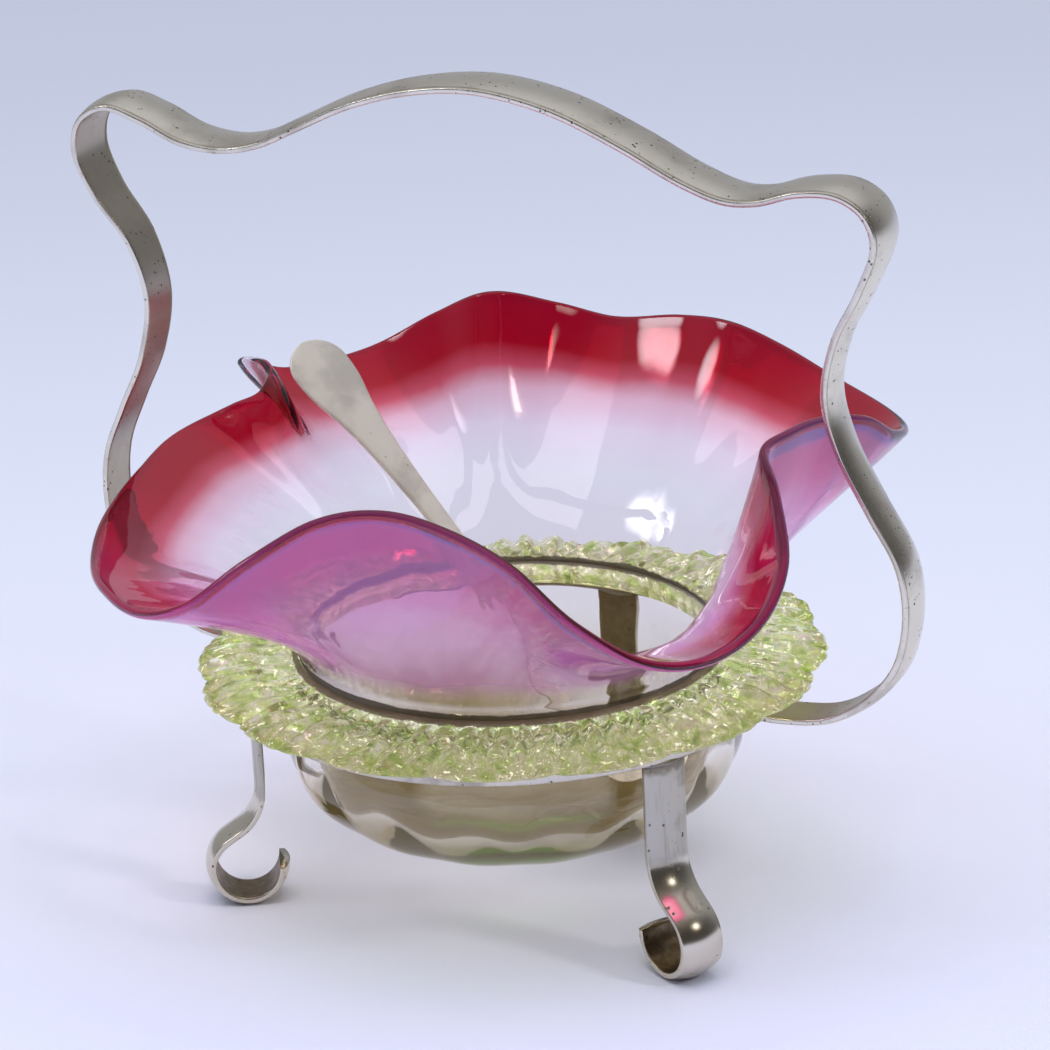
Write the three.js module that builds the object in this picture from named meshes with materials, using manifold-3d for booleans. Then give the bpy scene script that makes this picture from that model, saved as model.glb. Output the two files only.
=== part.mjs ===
// A preserve dish on its silver-plated stand: a hoop on three scroll legs with a wavy strap handle,
// a ruffled glass dish whose applied glass frill sits on the hoop, and a preserve spoon.
// Millimetres, +Z up. The origin is on the table, under the centre of the hoop. The handle lies in the
// XZ plane, the back leg is at +Y.
import * as THREE from 'three';
import { mergeVertices } from 'three/addons/utils/BufferGeometryUtils.js';
import Module from 'manifold-3d';

const wasm = await Module();
wasm.setup();

// Clearance between pieces that touch on the real object.
const seatGap = 0.3;

// Hoop: a bar ring, flat outside and well rounded inside.
const hoopOuterRadius = 62;
const hoopBar = 4;
const hoopInnerRadius = hoopOuterRadius - hoopBar;
const hoopHeight = 4.6;
const hoopUnderside = 51.1;
const hoopCornerRadius = 0.7;
const hoopRoundingShare = 1 / 3;
const hoopInnerFlatShare = 1 / 2;
const hoopSegments = 60;

// Plated strip that the handle and the legs are bent from: flat inside, crowned outside.
const stripWidth = 11;
const stripThickness = 2.5;
const stripEdge = 1.4;
const stripCrownShares = [1, 0.72, 0.28, -0.28, -0.72, -1];

// Handle: it grows wider between the two shares of its rise.
const handleReach = 100;
const handleRise = 140;
const handleTopWidth = 15;
const handleWideningShares = [0.6, 0.92];
const handleSteps = 84;

// Legs: a straight shank, a reverse bend and an open scroll.
const legNames = ['leg_front_right', 'leg_back', 'leg_front_left'];
const legFirstAzimuth = -30;
const scrollRadius = 7.4;
const scrollOffset = 5.2;
const scrollSink = 0.4;
const scrollStartAngle = 180;
const scrollLeaveAngle = 56;
const scrollSteps = 13;
const legBendRadius = 14;
const legShankMargin = 1.2;
const legShankRadius = hoopInnerRadius + legShankMargin;
const scrollCentreRadius = legShankRadius + scrollOffset;
const legSteps = 34;

// Solder left in the corners of the joints.
const solderLeg = 1.8;
const solderLength = 8.4;
const solderSteps = 3;

// Applied frill round the dish's waist
const frillOverhang = 9.8;
const frillRadius = hoopOuterRadius + frillOverhang;
const frillPetalCount = 16;
const frillPetalDepth = 2.6;
const frillPetalLift = 1.0;
const frillPetalRoundness = 0.6;
const frillInnerHeight = 5.8;
const frillOuterHeight = 3.0;
const frillUndercut = 0.9;
const frillShoulderShare = 0.9;
const frillSegments = 96;

// Glass dish: foot, belly, a straight waist inside the hoop and the frill, and the ruffled brim.
const dishSegments = 90;
const dishFootRadius = 19;
const dishFootHeight = 17.4;
const waistPlay = 8.6;
const waistRadius = hoopInnerRadius - waistPlay;
const bellySwell = 4;
const bellyRadius = waistRadius + bellySwell;
const bellyHeight = 39;
const bellySquareness = 0.98;
const bellyShare = 0.7;
const waistMargin = 0.8;
const waistLow = hoopUnderside + hoopHeight;
const waistHigh = waistLow + seatGap + frillInnerHeight + waistMargin;
const wallThickness = 3;
const footThickness = 5;
const fluteCount = 14;
const fluteDepth = 0.7;
const rimReach = 100;
const rimHeight = 120;
const rimLowHeight = 85;
const lipSteps = 3;

// How the brim leaves the waist and how it ends: a crest stands up, a low lobe lies almost flat.
const brimRiseShare = 0.30;
const brimReachShare = 0.42;
const brimFlareAngle = 65;
const crestSlope = 74;
const lobeSlope = 6;

// How far the bowl and the waist go, as shares of the outer wall's way from the foot's edge to the rim,
// and the shares of that way where the wall has its rows of points.
const bowlShare = 0.5;
const waistShare = 0.56;
const wallShares = [0, 0.06, 0.13, 0.2, 0.27, 0.34, 0.42, 0.5, 0.56, 0.63, 0.70, 0.77, 0.84, 0.91, 0.96, 1];

// Spoon
const spoonThickness = 1.6;
const spoonNeckWidth = 3.8;
const spoonEndWidth = 15.8;
const spoonHandleLength = 106;
const spoonSlimShare = 1.04;
const spoonSwellShare = 0.82;
const spoonBowlWidth = 28;
const spoonBowlLength = 34;
const spoonBowlDepth = 6;
const spoonBowlWall = 1.2;
const spoonBowlTilt = 20;
const spoonBowlRows = 5;
const spoonBowlSegments = 40;
const spoonRestAzimuth = 146;

// Where the spoon lies: its neck in plan, as shares of the belly's radius, and the point that its handle
// runs towards, as shares of the rim's reach, reach and height.
const spoonNeckShares = [0.025, 0.471];
const spoonAimShares = [-0.746, 0.409, 0.926];
const spoonLoweringSteps = 16;

const materials = {
  silverPlate: { color: 0xb4ad9f, roughness: 0.32, metalness: 1 },
  solder: { color: 0x9d988c, roughness: 0.5, metalness: 1 },
  spoonSilver: { color: 0xb9b2a1, roughness: 0.42, metalness: 1 },
  cranberryGlass: { color: 0xb8173a, roughness: 0.05, metalness: 0, transparent: true, opacity: 0.5 },
  greenGlass: { color: 0xcfe0a0, roughness: 0.08, metalness: 0, transparent: true, opacity: 0.6 },
};

const degrees = (angle) => THREE.MathUtils.degToRad(angle);

// A unit vector in a half plane, at an angle above its first axis.
const heading = (angle) => new THREE.Vector2(Math.cos(angle), Math.sin(angle));

function named(name, geometry, look) {
  const mesh = new THREE.Mesh(geometry, new THREE.MeshStandardMaterial(look));
  mesh.name = name;
  return mesh;
}

// Booleans
function toSolid(geometry) {
  const bare = geometry.clone();
  bare.deleteAttribute('normal');
  bare.deleteAttribute('uv');
  const merged = mergeVertices(bare);
  return new wasm.Manifold(new wasm.Mesh({
    numProp: 3,
    vertProperties: merged.attributes.position.array,
    triVerts: new Uint32Array(merged.index.array),
  }));
}

function toGeometry(solid) {
  const mesh = solid.getMesh();
  const geometry = new THREE.BufferGeometry();
  geometry.setAttribute('position', new THREE.BufferAttribute(mesh.vertProperties, 3));
  geometry.setIndex(new THREE.BufferAttribute(mesh.triVerts, 1));
  geometry.computeVertexNormals();
  return geometry;
}

// Turns a skin's faces round if they point into the solid.
function outward(geometry) {
  const bare = geometry.index ? geometry.toNonIndexed() : geometry;
  const { position } = bare.attributes;
  const [a, b, c] = [new THREE.Vector3(), new THREE.Vector3(), new THREE.Vector3()];
  let sixfoldVolume = 0;
  for (let k = 0; k < position.count; k += 3) {
    a.fromBufferAttribute(position, k);
    b.fromBufferAttribute(position, k + 1);
    c.fromBufferAttribute(position, k + 2);
    sixfoldVolume += a.dot(b.cross(c));
  }
  if (sixfoldVolume > 0) return geometry;
  for (let k = 0; k < position.count; k += 3) {
    b.fromBufferAttribute(position, k + 1);
    c.fromBufferAttribute(position, k + 2);
    position.setXYZ(k + 1, c.x, c.y, c.z);
    position.setXYZ(k + 2, b.x, b.y, b.z);
  }
  return bare;
}

// A closed skin round the Z axis. Each row is a function that gives its radius and height at an azimuth.
function skinOf(rows, segments) {
  const skin = new THREE.LatheGeometry(rows.map((row) => row(0)), segments);
  const { position, uv } = skin.attributes;
  for (let k = 0; k < position.count; k += 1) {
    const row = Math.round(uv.getY(k) * (rows.length - 1));
    const azimuth = uv.getX(k) === 1 ? 0 : 360 * uv.getX(k);
    const place = rows[row](azimuth);
    const angle = degrees(azimuth);
    position.setXYZ(k, place.x * Math.cos(angle), place.x * Math.sin(angle), place.y);
  }
  return toGeometry(toSolid(outward(skin)));
}

// The strip's section: x across the width, y outwards from the flat inner face.
function stripSection() {
  const half = stripWidth / 2;
  const crown = stripThickness - stripEdge;
  const section = new THREE.Shape();
  section.moveTo(-half, 0);
  section.lineTo(half, 0);
  for (const share of stripCrownShares) {
    section.lineTo(half * share, stripEdge + crown * (1 - share * share));
  }
  return section;
}

// Carries the strip's section along the inner face's line, given as points in the XZ plane.
// The line runs so that the crowned face is on its right-hand side, away from the object's middle.
function bentStrip(points, steps) {
  const path = new THREE.CatmullRomCurve3(points, false, 'centripetal');
  return new THREE.ExtrudeGeometry(stripSection(), { steps, extrudePath: path, curveSegments: 1 });
}

function makeHoop() {
  const top = hoopUnderside + hoopHeight;
  const corner = hoopCornerRadius;
  const middle = hoopUnderside + hoopHeight / 2;
  const innerFlat = hoopHeight * hoopInnerFlatShare;
  const rounding = hoopBar * hoopRoundingShare;
  const section = [
    [hoopOuterRadius - corner, hoopUnderside],
    [hoopOuterRadius, hoopUnderside + corner],
    [hoopOuterRadius, top - corner],
    [hoopOuterRadius - corner, top],
    [hoopInnerRadius + rounding, top],
    [hoopInnerRadius, middle + innerFlat / 2],
    [hoopInnerRadius, middle - innerFlat / 2],
    [hoopInnerRadius + rounding, hoopUnderside],
    [hoopOuterRadius - corner, hoopUnderside],
  ];
  const profile = section.map(([r, z]) => new THREE.Vector2(r, z));
  const ring = new THREE.LatheGeometry(profile, hoopSegments);
  ring.rotateX(Math.PI / 2);
  return named('hoop', ring, materials.silverPlate);
}

// Handle: stations of its inner face. Each lower run goes out from its root: x is a share of the way from
// the root to the handle's reach, z a share of its rise. The arch goes from the right shoulder over the top
// to the left one, as shares of the reach and the rise. The two sides differ, as bent by hand.
const rightRunShares = [
  [0.2, 0], [0.47, 0.010], [0.655, 0.036], [0.815, 0.075], [0.935, 0.125], [0.99, 0.205],
];
const leftRunShares = [[0.2, 0], [0.443, 0.007], [0.68, 0.034], [0.895, 0.081], [1.04, 0.140]];
const archShares = [
  [0.980, 0.284], [0.913, 0.369], [0.843, 0.464], [0.812, 0.553], [0.838, 0.648], [0.901, 0.736],
  [0.940, 0.812], [0.921, 0.855], [0.865, 0.880], [0.775, 0.879], [0.68, 0.859], [0.60, 0.856],
  [0.50, 0.878], [0.352, 0.929], [0.18, 0.977], [0, 0.998], [-0.16, 0.987], [-0.314, 0.955],
  [-0.446, 0.911], [-0.553, 0.876], [-0.659, 0.861], [-0.764, 0.869], [-0.866, 0.900],
  [-0.955, 0.916], [-1.02, 0.890], [-1.038, 0.84], [-1.0, 0.771], [-0.92, 0.690], [-0.882, 0.590],
  [-0.91, 0.484], [-0.973, 0.390], [-1.025, 0.304], [-1.036, 0.225],
];

function makeHandle() {
  const rootHeight = hoopUnderside + stripThickness;
  const rootReach = hoopOuterRadius + seatGap;
  const station = (x, share) => new THREE.Vector3(x, 0, rootHeight + handleRise * share);
  const run = (shares) => [[0, 0], ...shares].map(([x, z]) =>
    station(THREE.MathUtils.lerp(rootReach, handleReach, x), z));
  const mirror = new THREE.Vector3(-1, 1, 1);
  const left = run(leftRunShares).map((point) => point.multiply(mirror)).reverse();
  const arch = archShares.map(([x, z]) => station(handleReach * x, z));
  const strip = bentStrip([...run(rightRunShares), ...arch, ...left], handleSteps);
  const [low, high] = handleWideningShares;
  const { position } = strip.attributes;
  for (let k = 0; k < position.count; k += 1) {
    const share = (position.getZ(k) - rootHeight) / handleRise;
    const widening = THREE.MathUtils.smoothstep(share, low, high);
    position.setY(k, position.getY(k) * THREE.MathUtils.lerp(1, handleTopWidth / stripWidth, widening));
  }
  return named('handle', strip, materials.silverPlate);
}

// One leg in the XZ plane, x outwards: from the scroll's tip round under it, out, and up to the hoop.
function legGeometry() {
  const points = [];
  const onLine = (x, z) => points.push(new THREE.Vector3(x, 0, z));
  const scrollHeight = scrollRadius + stripThickness - scrollSink;
  for (let i = 0; i < scrollSteps; i += 1) {
    const angle = THREE.MathUtils.lerp(scrollStartAngle, 360 + scrollLeaveAngle, i / scrollSteps);
    const out = heading(degrees(angle));
    onLine(scrollCentreRadius + scrollRadius * out.x, scrollHeight + scrollRadius * out.y);
  }
  // The strip leaves the scroll on a straight line, square to the radius there.
  const leave = heading(degrees(scrollLeaveAngle));
  const leaveX = scrollCentreRadius + scrollRadius * leave.x;
  const leaveZ = scrollHeight + scrollRadius * leave.y;
  onLine(leaveX, leaveZ);
  // The reverse bend turns it upright. Its centre lies outside the shank by its own radius.
  const bendX = legShankRadius + legBendRadius;
  const startX = bendX - legBendRadius * leave.x;
  const startZ = leaveZ + (leaveX - startX) * (leave.x / leave.y);
  onLine(startX, startZ);
  const bendZ = startZ + legBendRadius * leave.y;
  const halfway = heading(degrees(scrollLeaveAngle) / 2);
  onLine(bendX - legBendRadius * halfway.x, bendZ - legBendRadius * halfway.y);
  const top = hoopUnderside - seatGap;
  onLine(legShankRadius, bendZ);
  onLine(legShankRadius, (bendZ + top) / 2);
  onLine(legShankRadius, top);
  const leg = toSolid(bentStrip(points, legSteps));
  // The scroll is worn flat where it stands.
  const table = new THREE.BoxGeometry(2 * scrollCentreRadius, 2 * stripWidth, 2 * scrollRadius);
  table.translate(scrollCentreRadius, 0, -scrollRadius);
  return toGeometry(leg.subtract(toSolid(table)));
}

// A bead of solder in a corner: a quarter-hollow section drawn along the joint.
// x runs into the corner's open side, y up the other side, z along the bead, centred.
function solderBead() {
  const corner = new THREE.Shape();
  corner.moveTo(0, 0);
  corner.lineTo(solderLeg, 0);
  for (let i = 1; i <= solderSteps; i += 1) {
    const hollow = heading((Math.PI / 2) * (i / solderSteps));
    corner.lineTo(solderLeg * (1 - hollow.y), solderLeg * (1 - hollow.x));
  }
  const bead = new THREE.ExtrudeGeometry(corner, { depth: solderLength, bevelEnabled: false, steps: 1 });
  bead.translate(0, 0, -solderLength / 2);
  return bead;
}

function addLegs(group) {
  legNames.forEach((name, i) => {
    const turned = new THREE.Group();
    turned.rotation.z = degrees(legFirstAzimuth + i * (360 / legNames.length));
    turned.add(named(name, legGeometry(), materials.silverPlate));
    // The bead lies inside the leg, under the hoop: its x goes inwards, its y down.
    const bead = solderBead();
    bead.rotateX(Math.PI / 2);
    bead.rotateY(Math.PI);
    bead.translate(legShankRadius - seatGap, 0, hoopUnderside - seatGap);
    turned.add(named(`solder_${name}`, bead, materials.solder));
    group.add(turned);
  });
}

function addHandleSolder(group) {
  // The bead lies on the handle's root, against the hoop's outer face.
  const height = hoopUnderside + stripThickness + seatGap;
  const names = ['solder_handle_right', 'solder_handle_left'];
  names.forEach((name, i) => {
    const side = new THREE.Group();
    side.rotation.z = Math.PI * i;
    const bead = solderBead();
    bead.rotateX(Math.PI / 2);
    bead.translate(hoopOuterRadius + seatGap, 0, height);
    side.add(named(name, bead, materials.solder));
    group.add(side);
  });
}

// The dish's rim, as its azimuth in degrees, its radius as a share of the rim's reach, and its height as
// a share of the rim's height: four crests, the lobes that hang between them, and a pleat near 153 degrees.
const rimShares = [
  [0, 0.70, 1], [12, 0.745, 0.99], [20, 0.83, 0.96], [27, 0.895, 0.90], [38, 0.96, 0.855],
  [50, 0.985, 0.84], [61, 0.985, 0.85], [71, 0.94, 0.905], [78, 0.905, 0.94], [88, 0.93, 0.93],
  [99, 0.945, 0.91], [108, 0.90, 0.95], [118, 0.81, 1], [126, 0.905, 0.94], [134, 0.975, 0.87],
  [140, 0.995, 0.846], [144, 1.045, 0.829], [147.5, 1.085, 0.823], [150, 1.105, 0.848],
  [151.8, 1.075, 0.873], [153.4, 0.985, 0.882], [155.2, 0.915, 0.866], [157.5, 0.90, 0.843],
  [161, 0.93, 0.826], [166, 0.98, 0.797], [172, 0.985, 0.785], [182, 0.965, 0.765],
  [196, 0.96, 0.74], [210, 0.955, 0.73], [226, 0.96, 0.75], [240, 0.965, 0.77],
  [249, 0.94, 0.815], [256, 0.85, 0.90], [264, 0.745, 0.965], [275, 0.70, 0.985], [287, 0.74, 0.97],
  [297, 0.83, 0.93], [305, 0.935, 0.845], [313, 0.99, 0.775], [321, 1.01, 0.76], [330, 0.985, 0.795],
  [338, 0.92, 0.87], [345, 0.80, 0.96], [352, 0.705, 0.995],
];

// Reads the rim's table at any azimuth with a smooth curve through its stations, all the way round.
function rimAt(azimuth) {
  const count = rimShares.length;
  const station = (k) => {
    const [angle, reach, height] = rimShares[(k + count) % count];
    return [angle + 360 * Math.floor(k / count), reach, height];
  };
  let i = count - 1;
  while (rimShares[i][0] > azimuth) i -= 1;
  const [before, from, to, after] = [i - 1, i, i + 1, i + 2].map(station);
  const span = to[0] - from[0];
  const t = (azimuth - from[0]) / span;
  const read = (k) => {
    const slopeFrom = ((to[k] - before[k]) / (to[0] - before[0])) * span;
    const slopeTo = ((after[k] - from[k]) / (after[0] - from[0])) * span;
    const step = t * t * (3 - 2 * t);
    return from[k] * (1 - step) + to[k] * step
      + t * (1 - t) * ((1 - t) * slopeFrom - t * slopeTo);
  };
  return new THREE.Vector2(rimReach * read(1), rimHeight * read(2));
}

// The table gives the lip's outermost point, so the outer wall ends half a wall short of it and below it.
function brimCurve(azimuth) {
  const lip = rimAt(azimuth);
  const waist = new THREE.Vector2(waistRadius, waistHigh);
  const lift = THREE.MathUtils.clamp((lip.y - rimLowHeight) / (rimHeight - rimLowHeight), 0, 1);
  const onward = heading(degrees(THREE.MathUtils.lerp(lobeSlope, crestSlope, lift)));
  const outside = new THREE.Vector2(onward.y, -onward.x);
  const end = lip.addScaledVector(onward, -wallThickness / 2).addScaledVector(outside, wallThickness / 2);
  const length = end.distanceTo(waist);
  return new THREE.CubicBezierCurve(
    waist,
    waist.clone().addScaledVector(heading(degrees(brimFlareAngle)), length * brimRiseShare),
    end.clone().addScaledVector(onward, -length * brimReachShare),
    end);
}

// The bowl's outer wall without its flutes: a quarter round from the foot's edge to the belly, then an
// easy line in to the waist.
function bowlPoint(share) {
  if (share < bellyShare) {
    const out = heading((Math.PI / 2) * (share / bellyShare));
    const reach = bellyRadius - dishFootRadius;
    const drop = bellyHeight - dishFootHeight;
    return new THREE.Vector2(
      dishFootRadius + reach * out.y ** bellySquareness,
      bellyHeight - drop * out.x ** bellySquareness);
  }
  const t = (share - bellyShare) / (1 - bellyShare);
  return new THREE.Vector2(
    THREE.MathUtils.lerp(bellyRadius, waistRadius, THREE.MathUtils.smoothstep(t, 0, 1)),
    THREE.MathUtils.lerp(bellyHeight, waistLow, t));
}

// Where the outer wall is at a share of its way from the foot's edge to the rim.
function outerWall(share, azimuth) {
  if (share <= bowlShare) {
    const along = share / bowlShare;
    const point = bowlPoint(along);
    const fade = Math.sqrt(Math.sin(Math.PI * along));
    const flute = (1 - Math.cos(fluteCount * degrees(azimuth))) / 2;
    point.x -= fluteDepth * fade * flute;
    return point;
  }
  if (share <= waistShare) {
    const t = (share - bowlShare) / (waistShare - bowlShare);
    return new THREE.Vector2(waistRadius, THREE.MathUtils.lerp(waistLow, waistHigh, t));
  }
  return brimCurve(azimuth).getPoint((share - waistShare) / (1 - waistShare));
}

// The inner wall lies the wall's thickness inside the outer one, square to it.
function innerWall(share, azimuth) {
  const stepShare = 1e-3;
  const ahead = outerWall(Math.min(1, share + stepShare), azimuth);
  const behind = outerWall(Math.max(0, share - stepShare), azimuth);
  const along = ahead.sub(behind).normalize();
  const thickness = THREE.MathUtils.lerp(footThickness, wallThickness, Math.min(1, share / bowlShare));
  return outerWall(share, azimuth).add(new THREE.Vector2(-along.y, along.x).multiplyScalar(thickness));
}

// The lip: a half circle from the outer wall's end to the inner one's.
function lipPoint(share, azimuth) {
  const out = outerWall(1, azimuth);
  const inside = innerWall(1, azimuth);
  const middle = out.clone().lerp(inside, 1 / 2);
  const across = out.sub(middle);
  const forward = new THREE.Vector2(-across.y, across.x);
  const turn = heading(Math.PI * share);
  return middle.addScaledVector(across, turn.x).addScaledVector(forward, turn.y);
}

function makeDish() {
  const floorHeight = dishFootHeight + footThickness;
  const rows = [() => new THREE.Vector2(0, dishFootHeight)];
  for (const share of wallShares) rows.push((azimuth) => outerWall(share, azimuth));
  for (let i = 1; i < lipSteps; i += 1) rows.push((azimuth) => lipPoint(i / lipSteps, azimuth));
  for (const share of [...wallShares].reverse()) {
    if (share > 0) rows.push((azimuth) => innerWall(share, azimuth));
  }
  rows.push(() => new THREE.Vector2(dishFootRadius, floorHeight));
  rows.push(() => new THREE.Vector2(0, floorHeight));
  return named('glass_dish', skinOf(rows, dishSegments), materials.cranberryGlass);
}

// Frill: a collar round the waist, resting on the hoop, its edge drawn out into shell-shaped petals.
function makeFrill() {
  const inner = waistRadius + seatGap;
  const base = hoopUnderside + hoopHeight + seatGap;
  const bearing = hoopOuterRadius;
  const petal = (azimuth) => Math.abs(Math.cos(degrees(azimuth * frillPetalCount / 2)));
  const reach = (azimuth) => frillRadius + frillPetalDepth * (petal(azimuth) ** frillPetalRoundness - 1 / 2);
  const lift = (azimuth) => frillPetalLift * (petal(azimuth) - 1 / 2);
  const edge = (azimuth) => reach(azimuth) - frillUndercut;
  const top = base + frillInnerHeight;
  const shoulder = base + frillInnerHeight * frillShoulderShare;
  const rows = [
    () => new THREE.Vector2(inner, base),
    () => new THREE.Vector2(bearing, base),
    (azimuth) => new THREE.Vector2(edge(azimuth), base + frillUndercut / 2),
    (azimuth) => new THREE.Vector2(reach(azimuth), base + frillOuterHeight / 2),
    (azimuth) => new THREE.Vector2(edge(azimuth), base + frillOuterHeight + lift(azimuth)),
    (azimuth) => new THREE.Vector2(bearing, shoulder + lift(azimuth)),
    (azimuth) => new THREE.Vector2(inner + frillUndercut, top + lift(azimuth) / 2),
    () => new THREE.Vector2(inner, top - frillUndercut),
    () => new THREE.Vector2(inner, base),
  ];
  return named('glass_frill', skinOf(rows, frillSegments), materials.greenGlass);
}

// Spoon: built along +X from its neck, face up along +Z, then laid in the dish.
function spoonHandle() {
  const half = spoonNeckWidth / 2;
  const end = spoonEndWidth / 2;
  const belly = spoonHandleLength - end;
  const slim = belly * spoonSlimShare;
  const swell = belly * spoonSwellShare;
  const outline = new THREE.Shape();
  outline.moveTo(-spoonNeckWidth, -half);
  outline.bezierCurveTo(slim, -half, swell, -end, belly, -end);
  outline.absarc(belly, 0, end, -Math.PI / 2, Math.PI / 2, false);
  outline.bezierCurveTo(swell, end, slim, half, -spoonNeckWidth, half);
  return new THREE.ExtrudeGeometry(outline, {
    depth: spoonThickness, bevelEnabled: false, steps: 1, curveSegments: 10,
  });
}

function spoonBowl() {
  const radius = spoonBowlWidth / 2;
  const inner = radius - spoonBowlWall;
  const innerDepth = spoonBowlDepth - spoonBowlWall;
  const profile = [];
  for (let i = 0; i <= spoonBowlRows; i += 1) {
    const turn = heading((Math.PI / 2) * (i / spoonBowlRows));
    profile.push(new THREE.Vector2(radius * turn.y, -spoonBowlDepth * turn.x));
  }
  for (let i = spoonBowlRows; i >= 0; i -= 1) {
    const turn = heading((Math.PI / 2) * (i / spoonBowlRows));
    profile.push(new THREE.Vector2(inner * turn.y, -innerDepth * turn.x));
  }
  const cup = new THREE.LatheGeometry(profile, spoonBowlSegments);
  cup.rotateX(Math.PI / 2);
  cup.scale(spoonBowlLength / spoonBowlWidth, 1, 1);
  cup.translate(-spoonBowlLength / 2 - spoonNeckWidth / 2, 0, spoonThickness);
  cup.rotateY(degrees(spoonBowlTilt));
  return outward(cup);
}

// The spoon's face lies across the rim where the handle leans on it, and the whole spoon is lowered
// until only the clearance is left between it and the dish.
function makeSpoon(dish) {
  const neck = new THREE.Vector3(...spoonNeckShares, 0).multiplyScalar(bellyRadius);
  neck.z = bellyHeight;
  const [aimX, aimY, aimZ] = spoonAimShares;
  const aim = new THREE.Vector3(rimReach * aimX, rimReach * aimY, rimHeight * aimZ);
  const along = aim.sub(neck).normalize();
  const rest = heading(degrees(spoonRestAzimuth));
  const across = new THREE.Vector3(-rest.y, rest.x, 0);
  across.addScaledVector(along, -across.dot(along)).normalize();
  const up = new THREE.Vector3().crossVectors(along, across);
  const place = new THREE.Matrix4().makeBasis(along, across, up).setPosition(neck);

  const blank = toSolid(spoonHandle()).add(toSolid(spoonBowl()));
  const spoon = toSolid(toGeometry(blank).applyMatrix4(place));
  let clear = rimHeight;
  let blocked = dishFootHeight - bellyHeight;
  for (let i = 0; i < spoonLoweringSteps; i += 1) {
    const middle = (clear + blocked) / 2;
    const gap = spoon.translate([0, 0, middle]).minGap(dish, 2 * seatGap);
    if (gap < seatGap) blocked = middle;
    else clear = middle;
  }
  return named('spoon', toGeometry(spoon.translate([0, 0, clear])), materials.spoonSilver);
}

const group = new THREE.Group();
group.add(makeHoop());
group.add(makeHandle());
addLegs(group);
addHandleSolder(group);
const dish = makeDish();
group.add(dish);
group.add(makeFrill());
group.add(makeSpoon(toSolid(dish.geometry)));

export default group;
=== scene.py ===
"""A ruffled cranberry glass preserve dish in its plated stand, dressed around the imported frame."""

import bpy
import numpy as np
from bpy.props import FloatProperty, FloatVectorProperty, IntProperty, PointerProperty
from mathutils import Matrix, Vector


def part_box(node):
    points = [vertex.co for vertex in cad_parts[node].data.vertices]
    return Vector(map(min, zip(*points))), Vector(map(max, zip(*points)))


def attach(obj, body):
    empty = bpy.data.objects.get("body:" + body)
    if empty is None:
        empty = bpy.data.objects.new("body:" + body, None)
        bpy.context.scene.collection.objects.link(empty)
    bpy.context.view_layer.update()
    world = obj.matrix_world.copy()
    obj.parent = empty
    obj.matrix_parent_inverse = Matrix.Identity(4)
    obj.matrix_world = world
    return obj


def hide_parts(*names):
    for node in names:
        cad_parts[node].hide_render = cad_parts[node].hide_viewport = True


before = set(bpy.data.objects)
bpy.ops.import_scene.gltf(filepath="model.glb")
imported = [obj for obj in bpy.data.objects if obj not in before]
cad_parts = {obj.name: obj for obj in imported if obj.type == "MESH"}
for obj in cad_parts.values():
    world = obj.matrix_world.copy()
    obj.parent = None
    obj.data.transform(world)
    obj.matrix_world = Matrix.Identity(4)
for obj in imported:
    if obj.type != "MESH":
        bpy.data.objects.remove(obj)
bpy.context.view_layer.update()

bl_info = {
    "name": "Preserve dish on a plated stand",
    "version": (1, 0, 0),
    "blender": (4, 5, 0),
    "location": "View3D > Sidebar > Preserve Dish",
    "description": "Builds the glass dish, its frill, the plated stand and the preserve spoon",
    "category": "Object",
}

MM = 0.001
HOOP_LOW, HOOP_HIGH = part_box("hoop")
HOOP_OUTER, HOOP_TOP, HOOP_UNDER = HOOP_HIGH.x, HOOP_HIGH.z, HOOP_LOW.z
SPOON_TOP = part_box("spoon")[1].z

# The handle's inner face. A lower run's x is a share of the way from its root to the handle's reach and its
# z a share of the rise. The arch, from the right shoulder over the top, is in shares of the reach and rise.
RIGHT_RUN_SHARES = np.array([[0.2, 0], [0.47, 0.010], [0.655, 0.036], [0.815, 0.075], [0.935, 0.125],
                             [0.99, 0.205]])
LEFT_RUN_SHARES = np.array([[0.2, 0], [0.443, 0.007], [0.68, 0.034], [0.895, 0.081], [1.04, 0.140]])
ARCH_SHARES = np.array([
    [0.980, 0.284], [0.913, 0.369], [0.843, 0.464], [0.812, 0.553], [0.838, 0.648], [0.901, 0.736],
    [0.940, 0.812], [0.921, 0.855], [0.865, 0.880], [0.775, 0.879], [0.68, 0.859], [0.60, 0.856],
    [0.50, 0.878], [0.352, 0.929], [0.18, 0.977], [0, 0.998], [-0.16, 0.987], [-0.314, 0.955],
    [-0.446, 0.911], [-0.553, 0.876], [-0.659, 0.861], [-0.764, 0.869], [-0.866, 0.900],
    [-0.955, 0.916], [-1.02, 0.890], [-1.038, 0.84], [-1.0, 0.771], [-0.92, 0.690], [-0.882, 0.590],
    [-0.91, 0.484], [-0.973, 0.390], [-1.025, 0.304], [-1.036, 0.225],
])

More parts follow.
